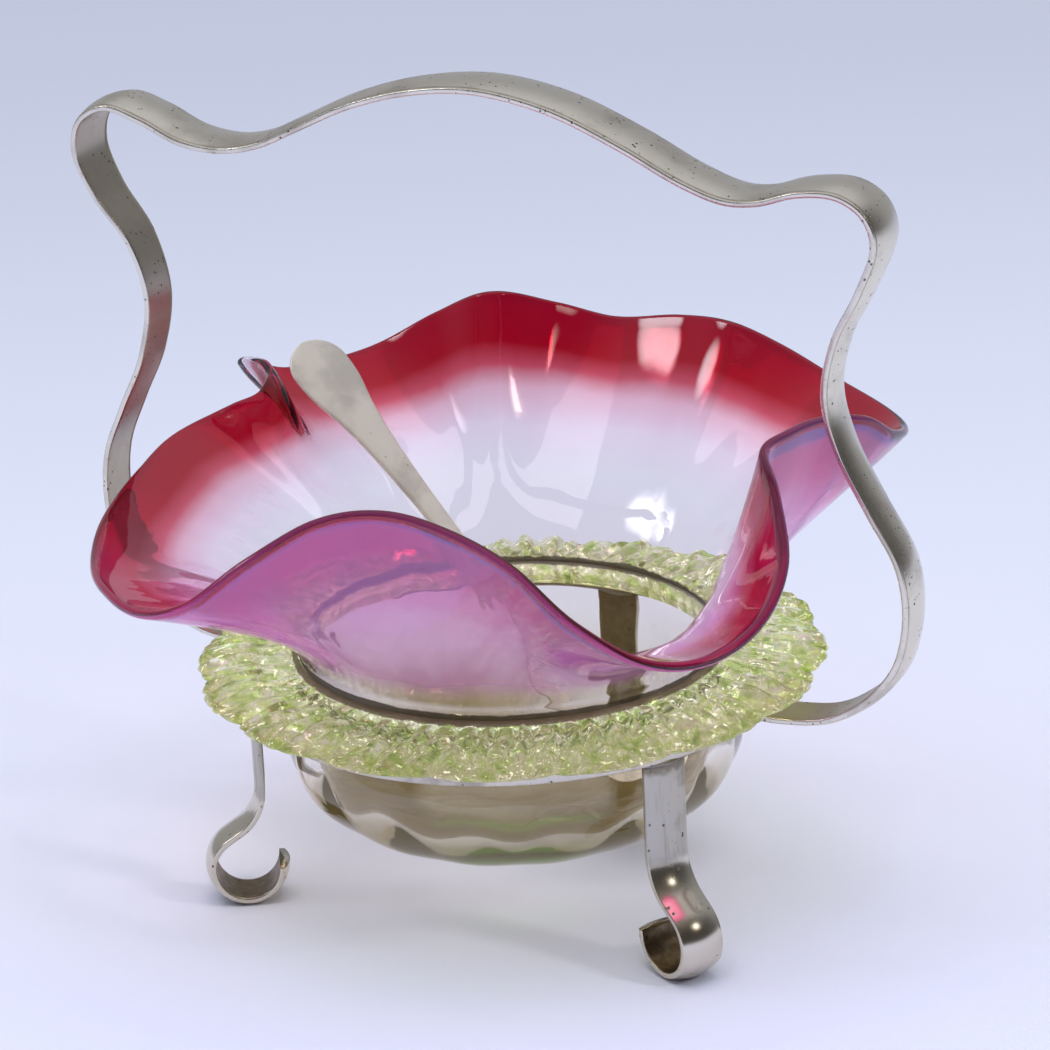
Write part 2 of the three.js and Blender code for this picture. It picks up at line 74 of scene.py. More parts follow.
# The rim: azimuth in degrees, then its radius and height as shares of the rim's reach and height. It has
# four crests, the lobes that hang between them, and a pleat near 153 degrees.
RIM_SHARES = np.array([
    [0, 0.70, 1], [12, 0.745, 0.99], [20, 0.83, 0.96], [27, 0.895, 0.90], [38, 0.96, 0.855],
    [50, 0.985, 0.84], [61, 0.985, 0.85], [71, 0.94, 0.905], [78, 0.905, 0.94], [88, 0.93, 0.93],
    [99, 0.945, 0.91], [108, 0.90, 0.95], [118, 0.81, 1], [126, 0.905, 0.94], [134, 0.975, 0.87],
    [140, 0.995, 0.846], [144, 1.045, 0.829], [147.5, 1.085, 0.823], [150, 1.105, 0.848],
    [151.8, 1.075, 0.873], [153.4, 0.985, 0.882], [155.2, 0.915, 0.866], [157.5, 0.90, 0.843],
    [161, 0.93, 0.826], [166, 0.98, 0.797], [172, 0.985, 0.785], [182, 0.965, 0.765],
    [196, 0.96, 0.74], [210, 0.955, 0.73], [226, 0.96, 0.75], [240, 0.965, 0.77],
    [249, 0.94, 0.815], [256, 0.85, 0.90], [264, 0.745, 0.965], [275, 0.70, 0.985], [287, 0.74, 0.97],
    [297, 0.83, 0.93], [305, 0.935, 0.845], [313, 0.99, 0.775], [321, 1.01, 0.76], [330, 0.985, 0.795],
    [338, 0.92, 0.87], [345, 0.80, 0.96], [352, 0.705, 0.995],
])
# The pleat's stations lie within its half span. It leans most at the fold, and a bell's width away hardly.
PLEAT_AZIMUTH = 153
PLEAT_HALF_SPAN = 7.5
PLEAT_FOLD = 150.5
PLEAT_FOLD_WIDTH = 1.8


def length(name, description, millimetres):
    """A size in a panel: a length that is given in millimetres and kept in metres."""
    return FloatProperty(name=name, description=description, default=millimetres * MM,
                         unit="LENGTH", precision=4)


def degree(name, description, default):
    """An angle in a panel, given in degrees and kept in radians."""
    return FloatProperty(name=name, description=description, default=np.radians(default), subtype="ANGLE")


def tint(name, description, default):
    """A colour in a panel, in linear red, green and blue."""
    return FloatVectorProperty(name=name, description=description, default=default, size=3,
                               min=0, max=1, subtype="COLOR")


class StandSizes(bpy.types.PropertyGroup):
    """Sizes of the plated stand."""
    strip_width: length("Strip width", "Width of the strip that the handle and legs are bent from", 11)
    strip_thickness: length("Strip thickness", "Thickness of the strip at its crown", 2.5)
    strip_edge: length("Strip edge", "Thickness of the strip at its edges", 1.4)
    strip_corner: length("Strip corner", "Rounding of the inner face's corners", 0.35)
    seat_gap: length("Seat gap", "Gap between pieces that touch", 0.3)
    handle_reach: length("Handle reach", "Half of the handle's span that its shape is drawn to", 99.85)
    handle_rise: length("Handle rise", "Height of the handle above its roots", 139.85)
    handle_top_width: length("Handle top width", "Width of the strip at the top of the handle", 15)
    scroll_radius: length("Scroll radius", "Inner radius of a foot's scroll", 7.4)
    scroll_offset: length("Scroll offset", "How far a scroll's centre lies outside its shank", 5.2)
    scroll_sink: length("Scroll wear", "How deep a foot is worn flat", 0.4)
    scroll_start: degree("Scroll start", "Angle of the scroll's tip", 180)
    scroll_leave: degree("Scroll end", "Angle where the strip leaves the scroll", 56)
    bend_radius: length("Bend radius", "Radius of a leg's reverse bend", 14)
    hoop_bar: length("Hoop bar", "Width of the hoop's bar", 4)
    hoop_corner: length("Hoop corner", "Rounding of the hoop's outer corners", 0.55)


class GlassSizes(bpy.types.PropertyGroup):
    """Sizes of the glass dish and its frill."""
    foot_radius: length("Foot radius", "Radius of the bowl's flat bottom", 19)
    foot_height: length("Foot height", "Height of the bowl's bottom above the table", 17.4)
    belly_radius: length("Belly radius", "Widest radius of the bowl", 53.4)
    belly_height: length("Belly height", "Height of the bowl's widest place", 39)
    waist_radius: length("Waist radius", "Radius of the straight waist inside the hoop", 49.4)
    waist_margin: length("Waist margin", "How far the waist goes on above the frill", 0.8)
    wall: length("Wall", "Thickness of the glass at the waist and in the brim", 3)
    lip_wall: length("Lip", "Thickness of the glass at the lip", 2.2)
    floor: length("Floor", "Thickness of the glass at the bottom", 5)
    flute_depth: length("Flute depth", "Depth of the flutes outside", 0.7)
    flute_lens: length("Flute lens", "How much the wall swells at each rib", 0.5)
    flutes: IntProperty(name="Flutes", description="Number of flutes round the bowl", default=14, min=3)
    rim_reach: length("Rim reach", "Radius that the rim's shape is drawn to", 100)
    rim_height: length("Rim height", "Height of the highest crest", 120)
    rim_low: length("Low rim height", "Height at which the brim lies almost flat", 85)
    pleat_lean: degree("Pleat lean", "How far the pleat leans over to the left", 2.4)
    ripple: length("Ripple", "How much the brim's thickness ripples", 0.12)
    frill_radius: length("Frill radius", "Middle radius of the frill's edge", 71.8)
    frill_inner: length("Frill height", "Height of the frill at the waist", 5.8)
    frill_outer: length("Frill edge", "Thickness of the frill near its edge", 3.0)
    petal_depth: length("Petal depth", "How deep the frill's scallops are cut", 2.6)
    crumple: length("Crumple", "How far the frill's surface is crumpled", 0.18)
    collar: length("Collar", "Height of the dirty collar above the frill's teeth", 1.3)
    petal_lift: length("Petal lift", "How far the petals rise between their notches", 1.0)
    rib_height: length("Rib height", "Height of the frill's ribs", 2.0)
    petals: IntProperty(name="Petals", description="Number of petals in the frill", default=16, min=3)
    ribs: IntProperty(name="Ribs", description="Number of ribs round the frill", default=72, min=3)


class SpoonSizes(bpy.types.PropertyGroup):
    """Sizes of the preserve spoon."""
    thickness: length("Thickness", "Thickness of the handle", 1.6)
    neck_width: length("Neck width", "Width of the neck", 3.8)
    end_width: length("End width", "Width of the handle's end", 15.8)
    handle_length: length("Handle length", "From the neck to the handle's end", 106)
    bowl_width: length("Bowl width", "Width of the bowl", 28)
    bowl_length: length("Bowl length", "Length of the bowl", 34)
    bowl_depth: length("Bowl depth", "Depth of the bowl", 6)
    bowl_wall: length("Bowl wall", "Thickness of the bowl", 1.2)
    bowl_tilt: degree("Bowl tilt", "How far the bowl is bent up from the handle's line", 20)
    flute_depth: length("Flute depth", "Depth of the bowl's flutes", 0.5)
    flutes: IntProperty(name="Flutes", description="Number of flutes in the bowl", default=9, min=3)


class Finishes(bpy.types.PropertyGroup):
    """Colours of the finishes."""
    silver: tint("Silver plate", "Worn silver plate", (0.75, 0.69, 0.575))
    tarnish: tint("Tarnish", "Tarnish in the hollows", (0.17, 0.12, 0.065))
    pit: tint("Pits", "Small pits through the plate", (0.035, 0.03, 0.02))
    solder: tint("Solder", "Dull solder", (0.34, 0.32, 0.28))
    spoon: tint("Spoon", "Matt worn silver of the spoon", (0.96, 0.90, 0.81))
    cranberry: tint("Cranberry", "Glass at the rim", (0.44, 0.001, 0.014))
    lip: tint("Lip", "Thick dark glass at the lip", (0.30, 0.002, 0.02))
    opal: tint("Opal", "Milky film on the outside of the front", (0.72, 0.25, 0.66))
    opal_lip: tint("Opal lip", "The film next to the lip", (0.23, 0.15, 0.48))
    clear: tint("Clear glass", "Glass of the waist and the lower brim", (0.90, 0.83, 0.81))
    amber: tint("Amber", "Thick glass of the bowl", (0.21, 0.155, 0.055))
    green: tint("Green glass", "Glass of the frill", (0.66, 0.82, 0.30))
    # The dark colour at the frill's joint stands for dirty glass and painted shade in the gap between the
    # frill and the wall.
    grime_and_shade: tint("Grime", "Old dirt in the frill's joint", (0.045, 0.03, 0.015))
    cloth: tint("Cloth", "The pale floor", (0.59, 0.62, 0.745))


class PreserveDish(bpy.types.PropertyGroup):
    """All that a user would change."""
    stand: PointerProperty(type=StandSizes)
    glass: PointerProperty(type=GlassSizes)
    spoon: PointerProperty(type=SpoonSizes)
    finish: PointerProperty(type=Finishes)


def settings():
    """The scene's own settings for the preserve dish."""
    return bpy.context.scene.preserve_dish


# Shapes

# Columns round the dish, the frill and the hoop, and how strongly the dish's crowd at the pleat.
DISH_COLUMNS = 620
FRILL_COLUMNS = 1120
HOOP_COLUMNS = 420
CROWDING = 0.6


def ease(t):
    """The step 3t^2 - 2t^3, with t held between 0 and 1."""
    t = np.clip(t, 0, 1)
    return t * t * (3 - 2 * t)


def bump(x, centre, width):
    """A soft hill of height 1 over x, a bell of the given width."""
    return np.exp(-((x - centre) / width) ** 2)


def circle(count):
    """Angles spread evenly round a circle."""
    return np.arange(count) * 2 * np.pi / count


def hermite(t, start, stop, leave, arrive):
    """The cubic over t from 0 to 1 that meets both ends with the slopes that it leaves and arrives with."""
    return start * (1 - ease(t)) + stop * ease(t) + t * (1 - t) * ((1 - t) * leave - t * arrive)


def bezier(t, stops):
    """The cubic Bezier of four stops over t from 0 to 1."""
    weights = (1 - t) ** 3, 3 * t * (1 - t) ** 2, 3 * t * t * (1 - t), t ** 3
    return sum(weight * stop for weight, stop in zip(weights, stops))


def waver(angle, seed, lowest, highest):
    """An uneven ripple round a circle, about -1 to 1: cosines of whole orders with seeded phases, summed."""
    source = np.random.default_rng(seed)
    orders = np.arange(lowest, highest)
    phases = source.uniform(0, 2 * np.pi, orders.size)
    sizes = source.uniform(0.4, 1, orders.size)
    waves = np.cos(orders * np.asarray(angle)[..., None] + phases) * sizes
    return waves.sum(-1) / np.sqrt((sizes ** 2).sum())


def closed_mesh(name, points, row_marks=None, ring=False):
    """A closed mesh over a grid of points [row, column], whose columns run round and meet.

    With ring, the rows meet as well. Otherwise a fan closes each end on the mean of its last row.
    The UV map's u is the column's share of the way round. Its v is the row's mark, by default its share.
    All faces are turned round if the volume inside, a sixth of the sum of a . (b x c), is negative.
    """
    rows, columns = points.shape[:2]
    last = rows if ring else rows - 1
    marks = np.linspace(0, 1, last + 1) if row_marks is None else np.asarray(row_marks, float)
    i, j = (part.ravel() for part in np.meshgrid(np.arange(last), np.arange(columns), indexing="ij"))
    below, above = i * columns, ((i + 1) % rows) * columns
    onward = (j + 1) % columns
    quads = np.stack([below + j, below + onward, above + onward, above + j], 1)
    across = np.stack([j, j + 1, j + 1, j], 1) / columns
    upward = np.stack([marks[i], marks[i], marks[i + 1], marks[i + 1]], 1)
    corners, uvs = [quads], [np.stack([across, upward], -1)]
    vertices = points.reshape(-1, 3)
    if not ring:
        column = np.arange(columns)
        ahead = (column + 1) % columns
        for k, (row, first, second) in enumerate(((0, ahead, column), (last, column, ahead))):
            centre = np.full(columns, rows * columns + k)
            corners.append(np.stack([centre, row * columns + first, row * columns + second], 1))
            uvs.append(np.stack([np.repeat((column / columns)[:, None], 3, 1),
                                 np.full((columns, 3), marks[-k])], -1))
        vertices = np.vstack([vertices, points[0].mean(0), points[last].mean(0)])
    a, b, c, d = (vertices[quads[:, k]] for k in range(4))
    volume = (a * np.cross(b, c)).sum() + (a * np.cross(c, d)).sum()
    if volume < 0:
        corners = [part[:, ::-1] for part in corners]
        uvs = [part[:, ::-1] for part in uvs]
    loops = np.concatenate([part.ravel() for part in corners])
    sides = np.concatenate([np.full(len(part), part.shape[1]) for part in corners])
    mesh = bpy.data.meshes.new(name)
    mesh.vertices.add(len(vertices))
    mesh.vertices.foreach_set("co", vertices.astype(np.float32).ravel())
    mesh.loops.add(loops.size)
    mesh.loops.foreach_set("vertex_index", loops.astype(np.int32))
    mesh.polygons.add(sides.size)
    mesh.polygons.foreach_set("loop_start", (np.cumsum(sides) - sides).astype(np.int32))
    mesh.polygons.foreach_set("use_smooth", np.ones(sides.size, bool))
    mesh.update(calc_edges=True)
    layer = mesh.uv_layers.new(name="UVMap")
    flat = np.concatenate([part.reshape(-1, 2) for part in uvs])
    layer.data.foreach_set("uv", flat.astype(np.float32).ravel())
    return mesh


def place_piece(mesh, finish, body, nodes):
    """Puts a mesh into the scene as a piece that rides on a body and stands for CAD nodes."""
    mesh.materials.append(finish)
    piece = bpy.data.objects.new(mesh.name, mesh)
    bpy.context.scene.collection.objects.link(piece)
    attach(piece, body)
    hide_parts(*nodes)


def curve_through(points, count):
    """A smooth curve through points, read at count places evenly spread along its length.

    Catmull-Rom: knots lie the square root of the distance apart, and both ends carry straight on.
    Between two points the curve is the cubic that meets both with the slopes of their neighbours.
    """
    padded = np.vstack([2 * points[0] - points[1], points, 2 * points[-1] - points[-2]])
    knots = np.sqrt(np.linalg.norm(np.diff(padded, axis=0), axis=1))[:, None]
    a, b, c = knots[:-2], knots[1:-1], knots[2:]
    before, start, stop, after = padded[:-3], padded[1:-2], padded[2:-1], padded[3:]
    leave = b * ((start - before) / a - (stop - before) / (a + b) + (stop - start) / b)
    arrive = b * ((stop - start) / b - (after - start) / (b + c) + (after - stop) / c)
    t = np.linspace(0, 1, 40, endpoint=False)[None, :, None]
    fine = hermite(t, *(part[:, None] for part in (start, stop, leave, arrive)))
    fine = np.vstack([fine.reshape(-1, points.shape[1]), points[-1]])
    run = np.concatenate([[0], np.cumsum(np.linalg.norm(np.diff(fine, axis=0), axis=1))])
    places = np.linspace(0, run[-1], count)
    return np.stack([np.interp(places, run, part) for part in fine.T], 1)


def strip_section(stand):
    """The strip's section as [across, outwards]: a flat inner face, round corners and a crown outside.

    The first twelve of its 52 points lie on the inner face. The crown is a parabola.
    """
    half = stand.strip_width / 2
    corner = stand.strip_corner
    low = np.radians(np.linspace(-90, 0, 5)[:-1])
    high = np.radians(np.linspace(0, 70, 4))
    inner = np.linspace(-1, 1, 13)[:-1] * (half - corner)
    side = [np.concatenate([half - corner + corner * np.cos(low), half - corner + corner * np.cos(high)]),
            np.concatenate([corner + corner * np.sin(low), stand.strip_edge + corner * (np.sin(high) - 1)])]
    top = np.linspace(1, -1, 24)
    rise = stand.strip_thickness - stand.strip_edge
    crown = [top * (half - corner), stand.strip_edge + rise * (1 - top ** 2)]
    return np.hstack([[inner, 0 * inner], side, crown, [-side[0][::-1], side[1][::-1]]]).T


def strap(name, line, section, spread=None):
    """Carries a section along a line in the XZ plane: a point goes out from the line along its normal,
    which is the tangent turned a quarter to the right, and across it along -Y, widened by the spread."""
    along = np.gradient(line, axis=0)
    along /= np.linalg.norm(along, axis=1)[:, None]
    outward = section[None, :, 1]
    x = line[:, :1] + outward * along[:, 1:]
    z = line[:, 1:] - outward * along[:, :1]
    y = -section[None, :, 0] * (np.ones(len(line)) if spread is None else spread)[:, None]
    return closed_mesh(name, np.stack([x, y, z], -1))


def wheel(radius, height, angle):
    """Points round the Z axis at radii, heights and angles."""
    return np.stack(np.broadcast_arrays(radius * np.cos(angle), radius * np.sin(angle), height), -1)


def turned(mesh, angle):
    """Turns a mesh round the Z axis."""
    mesh.transform(Matrix.Rotation(angle, 4, "Z"))
    return mesh


def leg_line(stand):
    """The inner face of one leg in the XZ plane, from the scroll's tip round under it and up to the hoop.

    The scroll is an arc. A straight line leaves it square to its radius, the reverse bend is an arc of its
    own radius that ends upright, and the shank goes straight up.
    """
    shank = HOOP_OUTER - stand.strip_thickness - stand.seat_gap
    centre = np.array([shank + stand.scroll_offset,
                       stand.scroll_radius + stand.strip_thickness - stand.scroll_sink])
    arc = np.linspace(stand.scroll_start, 2 * np.pi + stand.scroll_leave, 80)
    scroll = centre + stand.scroll_radius * np.stack([np.cos(arc), np.sin(arc)], 1)
    leave = stand.scroll_leave
    bend_x = shank + stand.bend_radius
    start_x = bend_x - stand.bend_radius * np.cos(leave)
    start_z = scroll[-1, 1] + (scroll[-1, 0] - start_x) / np.tan(leave)
    bend_z = start_z + stand.bend_radius * np.sin(leave)
    turn = np.linspace(leave, 0, 16)
    bend = np.array([bend_x, bend_z]) - stand.bend_radius * np.stack([np.cos(turn), np.sin(turn)], 1)
    top = HOOP_UNDER - stand.seat_gap
    rise = np.linspace(bend_z, top, 24)[1:]
    return np.vstack([scroll, bend, np.stack([np.full(rise.size, shank), rise], 1)])


def rim_at(azimuth, table, column):
    """Reads a column of a rim table at azimuths in degrees: a cubic between stations, whose slope at
    each station is that of the line through its two neighbours, all the way round."""
    azimuth = azimuth % 360
    angles = np.concatenate([table[-2:, 0] - 360, table[:, 0], table[:3, 0] + 360])
    values = np.concatenate([table[-2:, column], table[:, column], table[:3, column]])
    slopes = np.zeros_like(values)
    slopes[1:-1] = (values[2:] - values[:-2]) / (angles[2:] - angles[:-2])
    k = np.searchsorted(angles, azimuth, side="right") - 1
    span = angles[k + 1] - angles[k]
    return hermite((azimuth - angles[k]) / span, values[k], values[k + 1],
                   span * slopes[k], span * slopes[k + 1])


# The outer wall's way from the foot's edge to the rim: where the bowl and the waist end.
BOWL_END = 0.5
WAIST_END = 0.56
BELLY_END = 0.7
BELLY_SQUARENESS = 0.98
BRIM_RISE = 0.30
BRIM_REACH = 0.42
BRIM_FLARE = np.radians(65)
CREST_SLOPE = np.radians(74)
LOBE_SLOPE = np.radians(6)
# Where on the brim the pleat begins and how long it takes, and the UV map's v at the lip's outer edge.
FOLD_START = 0.68
FOLD_SPAN = 0.30
LIP_MARK = 0.496


def waist_heights(glass, stand):
    """Where the waist begins, level with the hoop's top, and where it ends, above the frill."""
    low = HOOP_TOP
    return low, low + stand.seat_gap + glass.frill_inner + glass.waist_margin


def outer_wall(along, azimuth, glass, stand):
    """Points of the outer wall, at shares of its way (rows) and azimuths in degrees (columns).

    Up to the belly it is a quarter oval, then an easy line in to the waist, then the upright waist. The brim
    is a cubic Bezier from the waist to half a wall inside the lip. It ends steeply on a crest and flat on a
    low lobe. The flutes take (1 - cos)/2 of their depth off the radius and fade at both ends of the bowl.
    The pleat, what the rim's table has beyond its plain rim, fades in towards the lip and leans to one side.
    """
    low, high = waist_heights(glass, stand)
    plain = RIM_SHARES[np.abs(RIM_SHARES[:, 0] - PLEAT_AZIMUTH) > PLEAT_HALF_SPAN]
    along, azimuth = along[:, None], azimuth[None, :]
    bowl = np.clip(along / BOWL_END, 0, 1)
    quarter = np.clip(bowl / BELLY_END, 0, 1) * np.pi / 2
    rise = np.clip((bowl - BELLY_END) / (1 - BELLY_END), 0, 1)
    reach = glass.belly_radius - glass.foot_radius
    drop = glass.belly_height - glass.foot_height
    radius = np.where(bowl < BELLY_END,
                      glass.foot_radius + reach * np.sin(quarter) ** BELLY_SQUARENESS,
                      glass.belly_radius + (glass.waist_radius - glass.belly_radius) * ease(rise))
    height = np.where(bowl < BELLY_END,
                      glass.belly_height - drop * np.abs(np.cos(quarter)) ** BELLY_SQUARENESS,
                      glass.belly_height + (low - glass.belly_height) * rise)
    fade = np.sqrt(np.clip(np.sin(np.pi * bowl), 0, 1))
    radius = radius - glass.flute_depth * fade * (1 - np.cos(glass.flutes * np.radians(azimuth))) / 2
    waist = np.clip((along - BOWL_END) / (WAIST_END - BOWL_END), 0, 1)
    height = np.where(along > BOWL_END, low + (high - low) * waist, height)

    lip_r = glass.rim_reach * rim_at(azimuth, plain, 1)
    lip_z = glass.rim_height * rim_at(azimuth, plain, 2)
    lift = np.clip((lip_z - glass.rim_low) / (glass.rim_height - glass.rim_low), 0, 1)
    slope = LOBE_SLOPE + (CREST_SLOPE - LOBE_SLOPE) * lift
    half_lip = glass.lip_wall / 2
    end_r = lip_r - half_lip * (np.cos(slope) - np.sin(slope))
    end_z = lip_z - half_lip * (np.sin(slope) + np.cos(slope))
    run = np.hypot(end_r - glass.waist_radius, end_z - high)
    t = np.clip((along - WAIST_END) / (1 - WAIST_END), 0, 1)
    stops_r = (glass.waist_radius, glass.waist_radius + run * BRIM_RISE * np.cos(BRIM_FLARE),
               end_r - run * BRIM_REACH * np.cos(slope), end_r)
    stops_z = (high, high + run * BRIM_RISE * np.sin(BRIM_FLARE),
               end_z - run * BRIM_REACH * np.sin(slope), end_z)
    on_brim = along > WAIST_END
    radius = np.where(on_brim, bezier(t, stops_r), radius)
    height = np.where(on_brim, bezier(t, stops_z), height)
    fold = ease((t - FOLD_START) / FOLD_SPAN)
    radius = radius + fold * (glass.rim_reach * rim_at(azimuth, RIM_SHARES, 1) - lip_r)
    height = height + fold * (glass.rim_height * rim_at(azimuth, RIM_SHARES, 2) - lip_z)
    lean = glass.pleat_lean * bump(azimuth, PLEAT_FOLD, PLEAT_FOLD_WIDTH) * fold
    return wheel(radius, height, np.radians(azimuth) + lean)


def glass_dish_mesh(glass, stand):
    """The dish's closed skin: up the outer wall, over a half round lip, down the inner wall, in to the floor.

    The columns crowd at the pleat: a column at phi stands at phi - c sin(phi - pleat). The inner wall lies
    the wall's thickness from the outer one, square to it. That thickness swells at the bowl's ribs, thins
    towards the lip and ripples a little in the brim, as blown glass does.
    """
    column = circle(DISH_COLUMNS)
    azimuth = np.degrees(column - CROWDING * np.sin(column - np.radians(PLEAT_AZIMUTH)))
    along = np.concatenate([np.linspace(0, BOWL_END, 34)[:-1], np.linspace(BOWL_END, WAIST_END, 5)[:-1],
                            WAIST_END + (1 - WAIST_END) * np.linspace(0, 1, 32) ** 0.9])
    outer = outer_wall(along, azimuth, glass, stand)
    onward = np.roll(outer, -1, 1) - np.roll(outer, 1, 1)
    upward = np.gradient(outer, along, axis=0)
    outward = np.cross(onward, upward)
    outward /= np.linalg.norm(outward, axis=-1, keepdims=True)
    share_up = np.clip(along / BOWL_END, 0, 1)[:, None]
    brim = np.clip((along - WAIST_END) / (1 - WAIST_END), 0, 1)[:, None]
    ribs = np.cos(glass.flutes * np.radians(azimuth))[None, :] * np.sin(np.pi * share_up)
    wall = glass.floor + (glass.wall - glass.floor) * share_up + glass.flute_lens * ribs
    wall = wall + (glass.lip_wall - glass.wall) * ease(brim)
    wall = wall + glass.ripple * waver(np.radians(azimuth), 21, 4, 46)[None, :] * np.sin(np.pi * brim)
    inner = outer - outward * wall[..., None]

    turn = np.linspace(0, np.pi, 11)[1:-1, None, None]
    middle = (outer[-1] + inner[-1]) / 2
    out = outer[-1] - middle
    ahead = upward[-1] * (np.linalg.norm(out, axis=-1) / np.linalg.norm(upward[-1], axis=-1))[:, None]
    lip = middle + out * np.cos(turn) + ahead * np.sin(turn)

    radii = np.linspace(0.05, 1, 7)[:-1, None] * glass.foot_radius
    bottom = wheel(radii, glass.foot_height, np.radians(azimuth))
    top = wheel(radii[::-1], glass.foot_height + glass.floor, np.radians(azimuth))
    flat = np.zeros(len(radii))
    back = slice(None, 0, -1)
    marks = np.concatenate([flat, along * LIP_MARK, np.linspace(LIP_MARK, 1 - LIP_MARK, turn.size),
                            1 - along[back] * LIP_MARK, flat + 1])
    return closed_mesh("cranberry_dish", np.concatenate([bottom, outer, lip, inner[back], top]), marks)


# The frill's ribs: how blunt they are, the level they rise from, and how far they shift and where on the way
# out. Then how many waves crumple its surface.
RIB_POWER = 0.7
RIB_LEVEL = 0.55
RIB_SHIFT = 1.1
SHIFT_FROM = 0.34
SHIFT_SPAN = 0.22
CRUMPLES = 26


def frill_mesh(glass, stand):
    """The applied frill: a section carried round the waist, whose columns are azimuths and rows go round it.

    Its edge is scalloped by a power of |cos|, with a cusp at each notch. A collar stands at the waist. The
    ribs, a power of |cos|, begin beside it as a crest of teeth and shift by part of a pitch half way out.
    Uneven ripples break up their places and heights, and waves in both directions crumple the
    surface, as tooling by hand does.
    """
    angle = circle(FRILL_COLUMNS)
    inner = glass.waist_radius + stand.seat_gap
    base = HOOP_TOP + stand.seat_gap
    middle = glass.frill_outer / 2
    petal = np.abs(np.cos(glass.petals / 2 * angle))
    drift = 0.5 * waver(angle, 3, 3, 40)
    uneven = glass.rib_height * (1 + 0.30 * waver(angle, 5, 10, 70))

    def rib(out):
        shift = RIB_SHIFT * ease((out - SHIFT_FROM) / SHIFT_SPAN)
        wave = np.cos(glass.ribs / 2 * angle[None, :] + drift[None, :] + shift)
        return np.abs(wave) ** RIB_POWER - RIB_LEVEL

    def crumpled(out):
        source = np.random.default_rng(8)
        round_ways = source.integers(30, 150, CRUMPLES)
        out_ways = source.uniform(4, 26, CRUMPLES)
        phases = source.uniform(0, 2 * np.pi, CRUMPLES)
        waves = np.cos(round_ways * angle[None, :, None] + out_ways * out[..., None] + phases)
        return glass.crumple * waves.sum(-1) / np.sqrt(CRUMPLES / 2)

    out = np.linspace(0, 1, 42)[:, None] ** 0.9
    under = np.linspace(1, 0, 18)[1:, None]
    edge = glass.frill_radius + glass.petal_depth * (petal ** 0.6 - 0.5)
    edge = edge + 0.35 * uneven * rib(np.ones((1, 1)))[0]
    radius = inner + (edge - inner)[None, :] * out
    fall = glass.frill_inner + (glass.frill_outer - glass.frill_inner) * out
    crest = glass.collar * (0.3 * bump(out, 0.17, 0.08) - ease(out / 0.07))
    belly = glass.petal_lift * (1.2 * bump(out, 0.6, 0.3) + (petal[None, :] - 0.5) * out * 1.4)
    relief = (uneven[None, :] * rib(out) + crumpled(out)) * ease((out - 0.03) / 0.10)
    cap = np.sqrt(np.clip(1 - out ** 12, 0, 1))
    top = base + middle + (fall + crest + belly + relief - middle) * cap

    under_radius = inner + (edge - inner)[None, :] * under
    beyond = np.clip((under_radius - HOOP_OUTER) / (edge - HOOP_OUTER)[None, :], 0, 1)
    round_up = 1 - np.sqrt(1 - beyond ** 6)
    under_height = base + middle * (0.35 * beyond ** 2 * (1 - round_up) + round_up)
    under_height = under_height + 0.25 * uneven[None, :] * rib(under) * ease(beyond * 2) * (1 - round_up)
    points = np.concatenate([wheel(radius, top, angle),
                             wheel(under_radius, np.maximum(under_height, base), angle)])
    marks = np.concatenate([out[:, 0] / 2, 1 - under[:, 0] / 2, [1]])
    return closed_mesh("green_frill", points, marks, ring=True)


def hoop_mesh(stand):
    """The hoop: a bar, flat outside and well rounded inside, carried round the Z axis, slightly uneven."""
    angle = circle(HOOP_COLUMNS)
    outer, low, high = HOOP_OUTER, HOOP_UNDER, HOOP_TOP
    bar, corner = stand.hoop_bar, stand.hoop_corner
    middle, half = (low + high) / 2, (high - low) / 2
    round_in = np.linspace(np.pi / 2, 3 * np.pi / 2, 19)
    inner = [outer - bar + bar * 0.45 * (1 + np.cos(round_in)), middle + half * np.sin(round_in)]
    turn = np.linspace(0, np.pi / 2, 5)
    below = [outer - corner + corner * np.sin(turn), low + corner - corner * np.cos(turn)]
    above = [below[0][::-1], 2 * middle - below[1][::-1]]
    section = np.hstack([inner, below, above])
    sag = 0.12 * MM * waver(angle, 11, 2, 8)
    r = section[0][:, None] + 0.06 * MM * waver(angle, 12, 2, 14)[None, :]
    z = section[1][:, None] + sag[None, :]
    return closed_mesh("plated_hoop", wheel(r, z, angle), ring=True)


# Between which shares of its rise the handle's strip grows to its top width.
WIDER_FROM = 0.6
WIDER_SPAN = 0.32


def handle_mesh(stand):
    """The handle: the strip's section carried along the curve through its stations, wider in its top part."""
    root_z = HOOP_UNDER + stand.strip_thickness
    root_x = HOOP_OUTER + stand.seat_gap
    reach, rise = stand.handle_reach, stand.handle_rise

    def run(shares):
        stations = np.vstack([[0, 0], shares])
        return np.stack([root_x + (reach - root_x) * stations[:, 0], root_z + rise * stations[:, 1]], 1)

    arch = np.stack([reach * ARCH_SHARES[:, 0], root_z + rise * ARCH_SHARES[:, 1]], 1)
    left = run(LEFT_RUN_SHARES) * [-1, 1]
    line = curve_through(np.vstack([run(RIGHT_RUN_SHARES), arch, left[::-1]]), 900)
    wider = ease(((line[:, 1] - root_z) / rise - WIDER_FROM) / WIDER_SPAN)
    spread = 1 + (stand.handle_top_width / stand.strip_width - 1) * wider
    return strap("plated_handle", line, strip_section(stand), spread)


def solder_mesh(name, centre, half, azimuth, seed):
    """A lump of solder: an oval shell, uneven by a ripple that is even round both of its angles."""
    around = circle(40)
    up = np.linspace(-np.pi / 2, np.pi / 2, 22)[1:-1, None]
    lump = 1 + 0.10 * waver(around, seed, 1, 6)[None, :] * np.cos(up) + 0.05 * np.sin(3 * up)
    shape = np.stack([np.cos(up) * np.cos(around), np.cos(up) * np.sin(around), np.sin(up) + 0 * around], -1)
    points = np.asarray(centre) + shape * np.asarray(half) * lump[..., None]
    return turned(closed_mesh(name, points), azimuth)


